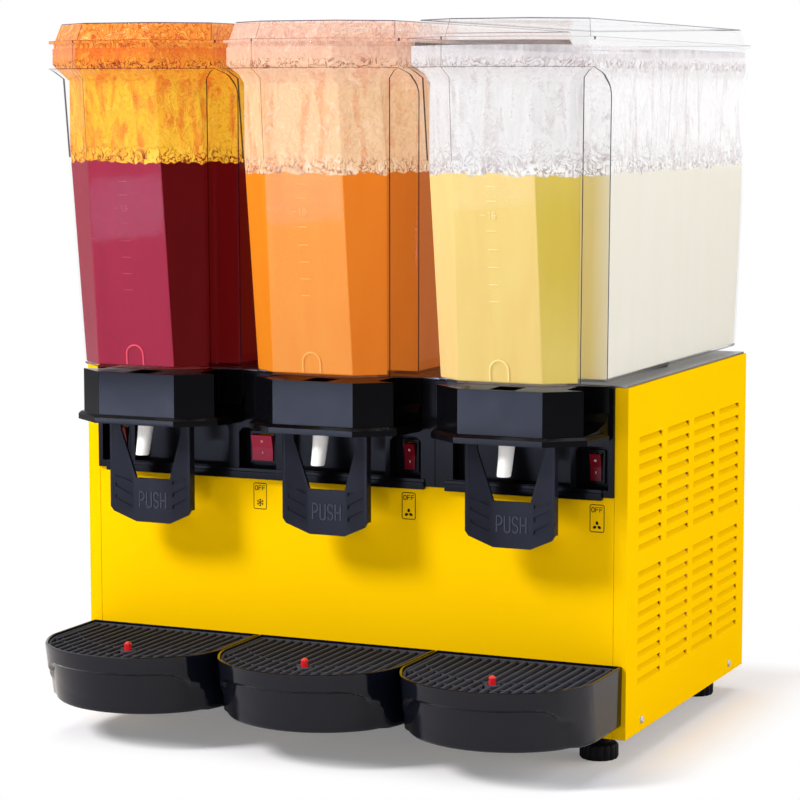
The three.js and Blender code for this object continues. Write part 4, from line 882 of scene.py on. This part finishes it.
def letter_lines(letter, w):
    """The strokes of a plain letter or figure of height 1 and width w."""
    half, oval = w / 2, bend(w / 2, 0.5, w / 2, 0.5, 0, 360, 20)
    shapes = {
        "P": [[(0, 0), (0, 1), (half, 1)] + bend(half, 0.73, half, 0.27, 90, -90)[1:] + [(0, 0.46)]],
        "U": [[(0, 1), (0, half)] + bend(half, half * 0.8, half, half * 0.8, 180, 360)[1:] + [(w, 1)]],
        "S": [bend(half, 0.74, half, 0.26, 15, 270) + bend(half, 0.24, half, 0.24, 90, -165)[1:]],
        "H": [[(0, 0), (0, 1)], [(w, 0), (w, 1)], [(0, 0.5), (w, 0.5)]],
        "F": [[(w, 1), (0, 1), (0, 0)], [(0, 0.54), (w * 0.9, 0.54)]],
        "O": [oval], "0": [oval],
        "1": [[(half * 0.3, 0.78), (half, 1), (half, 0)]],
    }
    return shapes[letter]


def word_lines(word, height, width, gap):
    """A word's strokes in millimetres, centred on its middle."""
    total = len(word) * width + (len(word) - 1) * gap
    out = []
    for i, letter in enumerate(word):
        left = -total / 2 + i * (width + gap)
        for line in letter_lines(letter, width / height):
            out.append([(left + x * height, (z - 0.5) * height) for x, z in line])
    return out


def ridges(name, lines, width, depth, mat, body, place, tilt=0.0):
    """Raised strokes, each a line of (across, up) points, on a front face that leans by a tilt."""
    curve = bpy.data.curves.new(name + "_line", "CURVE")
    curve.dimensions = "3D"
    curve.bevel_depth = width / 2
    curve.bevel_resolution = 1
    curve.use_fill_caps = True
    for line in lines:
        spline = curve.splines.new("POLY")
        spline.points.add(len(line) - 1)
        for point, (across, up) in zip(spline.points, line):
            point.co = (across, up, 0.0, 1.0)
    maker = bpy.data.objects.new(name + "_line", curve)
    mesh = bpy.data.meshes.new_from_object(maker)
    bpy.data.objects.remove(maker)
    bpy.data.curves.remove(curve)
    mesh.name = name
    lean = radians(tilt)
    for v in mesh.vertices:
        across, up, out = v.co.x, v.co.y, v.co.z / (width / 2) * depth
        y = -out * cos(lean) - up * sin(lean)
        z = up * cos(lean) - out * sin(lean)
        v.co = (Vector(place) + SHIFT + Vector((across, y, z))) * MM
    mesh.materials.clear()
    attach(link_mesh(name, mesh, [mat]), body)


def rounded_frame(half_w, half_h, radius):
    """A closed line round a rectangle with rounded corners."""
    points = []
    x, z = half_w - radius, half_h - radius
    for side, rise, start in ((1, 1, 0), (-1, 1, 90), (-1, -1, 180), (1, -1, 270)):
        points += bend(side * x, rise * z, radius, radius, start, start + 90, 4)
    return points + points[:1]


def flake_lines(radius, drop):
    """A six-armed snowflake, lowered by a length."""
    lines = []
    for k in range(6):
        a = radians(30 + 60 * k)
        tip = Vector((cos(a), sin(a))) * radius
        fork = tip * 0.62
        lines.append([(0, -drop), (tip.x, tip.y - drop)])
        for b in (a - radians(45), a + radians(45)):
            end = fork + Vector((cos(b), sin(b))) * radius * 0.36
            lines.append([(fork.x, fork.y - drop), (end.x, end.y - drop)])
    return lines


def make_propeller(name, mat, place):
    """Three flat oval blades round a place."""
    verts, faces = [], []
    count = 14
    for turn in (90, 210, 330):
        a = radians(turn)
        middle = Vector((cos(a), sin(a))) * 2.5
        faces += loft_faces(2, count, start=len(verts))
        for y in (0.0, -0.12):
            for k in range(count):
                t = tau * k / count
                u, v = 1.75 * cos(t), 1.3 * sin(t)
                verts.append((place[0] + middle.x + u * cos(a) - v * sin(a), place[1] + y,
                              place[2] + middle.y + u * sin(a) + v * cos(a)))
    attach(mesh_from(name, verts, faces, [mat]), "housing")


def make_labels():
    """The switches' labels: a rounded frame, OFF and a snowflake or a three-bladed paddle."""
    ink = surface("ink_black", rgb(20, 16, 14), 0.5, vary=0.1, bump=0.0, specular=0.05)
    for name, x, kind in (("cooling", -88.0, "flake"), ("middle", 62.0, "fan"), ("right", 242.0, "fan")):
        lines = [rounded_frame(6.5, 12.0, 1.6)]
        if kind == "flake":
            lines += flake_lines(3.5, 6.0)
        ridges(f"label_{name}_lines", lines, 0.8, 0.1, ink, "housing", (x, 0.0, 196.0))
        if kind == "fan":
            make_propeller(f"label_{name}_fan", ink, (x, 0.0, 189.4))
        ridges(f"label_{name}_word", word_lines("OFF", 4.2, 2.7, 1.1), 0.85, 0.12, ink, "housing",
               (x, 0.0, 203.6))


def make_scale(side, bay_x):
    """The bowl's raised volume marks and number, and the arch of its outlet at the foot."""
    body, number_x, number_z, arch_z = f"bowl_body_{side}", bay_x - 2.6, 463.0, FLOOR + 4.0
    rise, run = SHOULDER - FLOOR, FACET_HIGH - FACET_LOW
    tilt = degrees(atan(run / rise))

    def on_facet(x, z):
        return (x, -FACET_LOW - run * (z - FLOOR) / rise, z)

    mat = surface(f"scale_{side}", rgb(*SCALE_TONES[side]), 0.3, vary=0.05, bump=0.0, specular=0.1)
    marks = [[(-9.6, 0.0), (-6.0, 0.0)], [(0.9, 0.0), (4.4, 0.0)]]
    marks += [[(-4.0, up), (4.0, up)] for up in (24.4, 12.1, -13.3, -29.2, -44.2, -59.2, -74.0)]
    for kind, lines in (("marks", marks), ("number", word_lines("10", 6.0, 2.4, 1.2))):
        ridges(f"scale_{kind}_{side}", lines, 0.7, 0.25, mat, body, on_facet(number_x, number_z), tilt)
    radius, height = 8.5, 18.0
    arch = surface(f"outlet_arch_{side}", rgb(*ARCH_TONES[side]), 0.25, vary=0.05, bump=0.0, specular=0.2)
    line = [(radius, 0.0)] + bend(0.0, height - radius, radius, radius, 0, 180, 12) + [(-radius, 0.0)]
    ridges(f"outlet_arch_{side}", [line], 1.6, 0.4, arch, body, on_facet(bay_x, arch_z), tilt)


def on_face(node_name, x, z):
    """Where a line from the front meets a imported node, and the way its face looks."""
    start, ahead = Vector((x, -1.0, z)), Vector((0.0, 1.0, 0.0))
    return frame["nodes"][node_name].ray_cast(start, ahead)[1:3]


def make_rocker_marks():
    """A small white ring at the top of each rocker and a dash below, on its two slanted faces."""
    white = surface("rocker_white", rgb(225, 205, 210), 0.35, vary=0.03, bump=0.0, specular=0.2)
    ring, dash = bend(0.0, 0.0, 0.8, 0.8, 0, 360, 12), [(0.0, -1.1), (0.0, 1.1)]
    for name in ("left", "cooling", "middle", "right"):
        node_name = f"rocker_{name}"
        low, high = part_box(node_name)
        for kind, share, line in (("dot", 0.74, ring), ("dash", 0.30, dash)):
            place, normal = on_face(node_name, (low[0] + high[0]) / 2, low[2] + (high[2] - low[2]) * share)
            tilt = degrees(atan2(-normal.z, -normal.y))
            ridges(f"rocker_{kind}_{name}", [line], 0.6, 0.12, white, body_of(node_name),
                   Vector(place) / MM - SHIFT, tilt)


def make_screws():
    """Two domed screw heads with a socket in each side panel."""
    steel = surface("screw_steel", (0.55, 0.55, 0.57), 0.3, metal=1.0, vary=0.1)
    count = 20
    rows = ((270.0, 3.6), (270.7, 3.6), (271.5, 3.1), (272.0, 1.9), (272.1, 1.7), (271.3, 1.2))
    for name, y, z in (("front", 43.4, 9.9), ("rear", 308.5, 9.5)):
        for sign, side in ((1, "right"), (-1, "left")):
            verts = [(sign * x, py, pz) for x, radius in rows for py, pz in ring_at(y, z, radius, count)]
            piece = mesh_from(f"screw_{side}_{name}", verts, loft_faces(len(rows), count), [steel])
            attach(piece, "housing")


# Finishes
FINISHES = {
    "yellow_paint": (rgb(255, 201, 3), 0.42,
                     dict(vary=0.012, grain=9.0, bump=0.05, fine=700.0, specular=0.0)),
    "black_gloss": (rgb(11, 11, 15), 0.2, dict(vary=0.15, specular=0.065)),
    "black_satin": (rgb(8, 8, 11), 0.12, dict(vary=0.15, bump=0.01, fine=1600.0, specular=0.08)),
    "stainless": ((0.62, 0.63, 0.65), 0.28, dict(metal=1.0, vary=0.05, grain=30.0)),
    "zinc_steel": ((0.45, 0.46, 0.48), 0.42, dict(metal=1.0, vary=0.2, grain=40.0)),
    "fin_aluminium": ((0.6, 0.61, 0.62), 0.4, dict(metal=1.0, vary=0.1)),
    "motor_aluminium": ((0.5, 0.5, 0.52), 0.45, dict(metal=1.0, vary=0.1)),
    "compressor_black": (rgb(24, 24, 26), 0.35, dict(vary=0.2)),
    "white_silicone": (rgb(238, 237, 232), 0.42, dict(vary=0.02, grain=20.0)),
    "white_paddle": (rgb(236, 236, 232), 0.4, dict(vary=0.02, grain=20.0)),
    "red_rocker": (rgb(178, 34, 66), 0.14, dict(vary=0.08, coat=0.04, specular=0.12)),
    "red_float": (rgb(225, 30, 38), 0.25, dict(vary=0.05, coat=0.3)),
    "foot_black": (rgb(12, 12, 14), 0.5, dict(vary=0.2, bump=0.1, fine=1200.0, specular=0.1)),
    "seal_rubber": (rgb(30, 30, 32), 0.7, dict(vary=0.2, bump=0.1, specular=0.1)),
}
MATS = {name: surface(name, colour, rough, **rest) for name, (colour, rough, rest) in FINISHES.items()}
MATS["clear_bowl"] = clear_plastic("clear_bowl", (0.93, 0.94, 0.97, 1.0), 0.0015, 0.25)
TRAY_BLACK = surface("tray_black", rgb(9, 11, 20), 0.1, vary=0.15, bump=0.0, specular=0.28)
# Painted sheen: the bars' grey base stands in for the highlights of black bars, whose reflections are kept
# down
GRILLE_GREY_SHEEN = surface("grille_grey_painted_sheen", rgb(66, 69, 80), 0.35, vary=0.15, bump=0.05, specular=0.004)
# Partly painted sheen: the levers' bluish base is lighter than the collars' black, standing in for a
# reflection they don't catch
LEVER_SHEEN_BLACK = surface("lever_black_painted_sheen", rgb(23, 25, 36), 0.24, vary=0.15, bump=0.08, fine=1600.0, specular=0.1)
# Painted highlight: the raised letters are a lighter grey than the lever they stand on
LETTER_SHEEN = surface("letter_painted_sheen", rgb(40, 43, 54), 0.3, vary=0.1, bump=0.0, specular=0.3)
NARROW_RED = surface("narrow_red", rgb(104, 12, 26), 0.14, vary=0.08, coat=0.04, specular=0.15)
# Painted shade: the deck's steel is darkened, so that the gap between each bowl and its collar reads dark
DECK_STEEL_SHADED = surface("deck_steel_painted_shade", (0.27, 0.28, 0.32), 0.3, metal=1.0, vary=0.05, grain=30.0)
# Painted shade: navy and juice-tinted lines where the clear wall turns, standing in for how its rounded edges
# bend the light
CLEAR_EDGE_SHADE = clear_plastic("clear_edge_painted_shade", rgb(34, 32, 62), 0.86, 0.1, rough=0.15)
CORNER_SHADE_LINES = {
    side: clear_plastic(f"corner_{side}", rgb(*tone), base, 0.3, rough=0.2) for side, tone, base in
    (("left", (120, 34, 30), 0.6), ("middle", (120, 74, 66), 0.5), ("right", (110, 96, 100), 0.5))
}
# Tones of a drink, painted light and shade: where the tower looks left, forwards and right, its grooves, and
# the box behind it
DRINKS = {
    "left": drink(
        "juice_red", ((158, 66, 80), (161, 46, 72), (90, 8, 11), (100, 11, 13), (98, 10, 12)), 0.6, 0.92),
    "middle": drink(
        "juice_orange", ((247, 143, 36), (249, 158, 74), (240, 130, 38), (226, 124, 42), (206, 106, 38)),
        0.6, 0.84),
    "right": drink(
        "juice_yellow", ((242, 208, 136), (235, 206, 126), (228, 204, 108), (236, 214, 142), (245, 240, 224)),
        0.5, 0.9, oval=0.8),
}
# Tones of a film: its own, its streaks, its top, its dark curls and the painted highlights beside them
FILMS = {
    "left": film(
        "film_amber", ((254, 192, 54), (244, 140, 46), (240, 112, 42), (136, 24, 12), (255, 222, 90)),
        (0.9, 0.96), LEVELS["left"]),
    "middle": film(
        "film_peach", ((253, 210, 164), (247, 182, 136), (248, 196, 172), (150, 84, 70), (255, 240, 226)),
        (0.8, 0.9), LEVELS["middle"], ink=0.9),
    "right": film(
        "film_pale", ((255, 254, 255), (230, 223, 224), (240, 234, 237), (150, 128, 122), (255, 255, 255)),
        (0.3, 0.6), LEVELS["right"], ink=0.8, span=30.0, glow=0.78),
}
LID_LEVEL = 540.0
# The amber and peach lids are tinted partly by juice on their underside and partly by painted light that
# comes through the drink, and they glow like the films
LIDS = {
    "left": film(
        "lid_amber", ((250, 160, 58), (246, 132, 52), (248, 150, 56), (186, 52, 26), (255, 200, 90)),
        (0.82, 0.9), LID_LEVEL, ink=0.9, strewn=0.8, back=0.4),
    "middle": film(
        "lid_peach", ((252, 214, 186), (244, 186, 154), (250, 206, 182), (186, 110, 92), (255, 240, 226)),
        (0.4, 0.6), LID_LEVEL, ink=0.8, strewn=0.7, back=0.15),
    "right": clear_plastic("lid_clear", (0.9, 0.91, 0.95, 1.0), 0.04, 0.5),
}
SCALE_TONES = {"left": (174, 70, 94), "middle": (252, 172, 98), "right": (243, 222, 158)}
ARCH_TONES = {"left": (214, 74, 92), "middle": (248, 162, 82), "right": (235, 209, 134)}


# Putting it together
def body_of(node_name):
    return frame["nodes"][node_name]["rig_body"]


def dress_frame():
    """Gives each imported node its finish."""
    slots = {part["node"]: part.get("material_slot") for part in frame["record"]["subparts"]}
    own = {f"rocker_{side}": NARROW_RED for side in BAYS}
    own["deck"] = DECK_STEEL_SHADED
    for name, obj in frame["nodes"].items():
        mat = own.get(name, MATS.get(slots.get(name)))
        if mat:
            obj.data.materials.clear()
            obj.data.materials.append(mat)


make_camera()
make_world()
make_floor()
make_light("key", (-1.45, -1.95, 2.05), (0, -0.1, 0.3), (0.75, 0.75), 80, (1.0, 0.98, 0.96))
make_light("low_strip", (-0.85, -1.95, 0.088), (-0.05, -0.1, 0.088), (1.1, 0.095), 6.6, (0.60, 0.68, 1.0),
           diffuse=False)
make_light("front_fill", (-0.5, -2.7, 0.5), (0, 0, 0.2), (2.4, 1.0), 14, gloss=False)
make_light("side", (3.0, 0.5, 1.3), (0, 0, 0.3), (1.6, 1.8), 47)
make_light("top", (0.0, 0.3, 2.6), (0, 0, 0.2), (2.2, 1.6), 26)

dress_frame()
for side, bay_x in BAYS.items():
    for make in (make_bowl, make_drink, make_film, make_lid, make_tray, make_grille, make_nozzle, make_scale):
        make(side, bay_x)
    for kind, mat, width, adjust in (("collar", MATS["black_satin"], 0.8, None),
                                     ("lever", LEVER_SHEEN_BLACK, 0.7, lowered_plate)):
        refined(f"{kind}_{side}", f"{kind}_formed_{side}", mat, body_of(f"{kind}_{side}"), width, adjust)
    ridges(f"lever_word_{side}", word_lines("PUSH", 14.2, 5.0, 2.5), 2.0, 0.9, LETTER_SHEEN,
           f"lever_body_{side}", (bay_x, -41.5, 192.5))
for node_name, finish, width in (("fascia_double", "black_gloss", 0.6), ("fascia_single", "black_gloss", 0.6),
                                 ("front_panel", "yellow_paint", 0.5), ("rear_panel", "yellow_paint", 0.5)):
    refined(node_name, f"{node_name}_formed", MATS[finish], "housing", width)
for name in ("front_left", "front_right", "rear_left", "rear_right"):
    make_foot(name)
make_labels()
make_rocker_marks()
make_screws()

bpy.context.scene.view_settings.view_transform = "Standard"
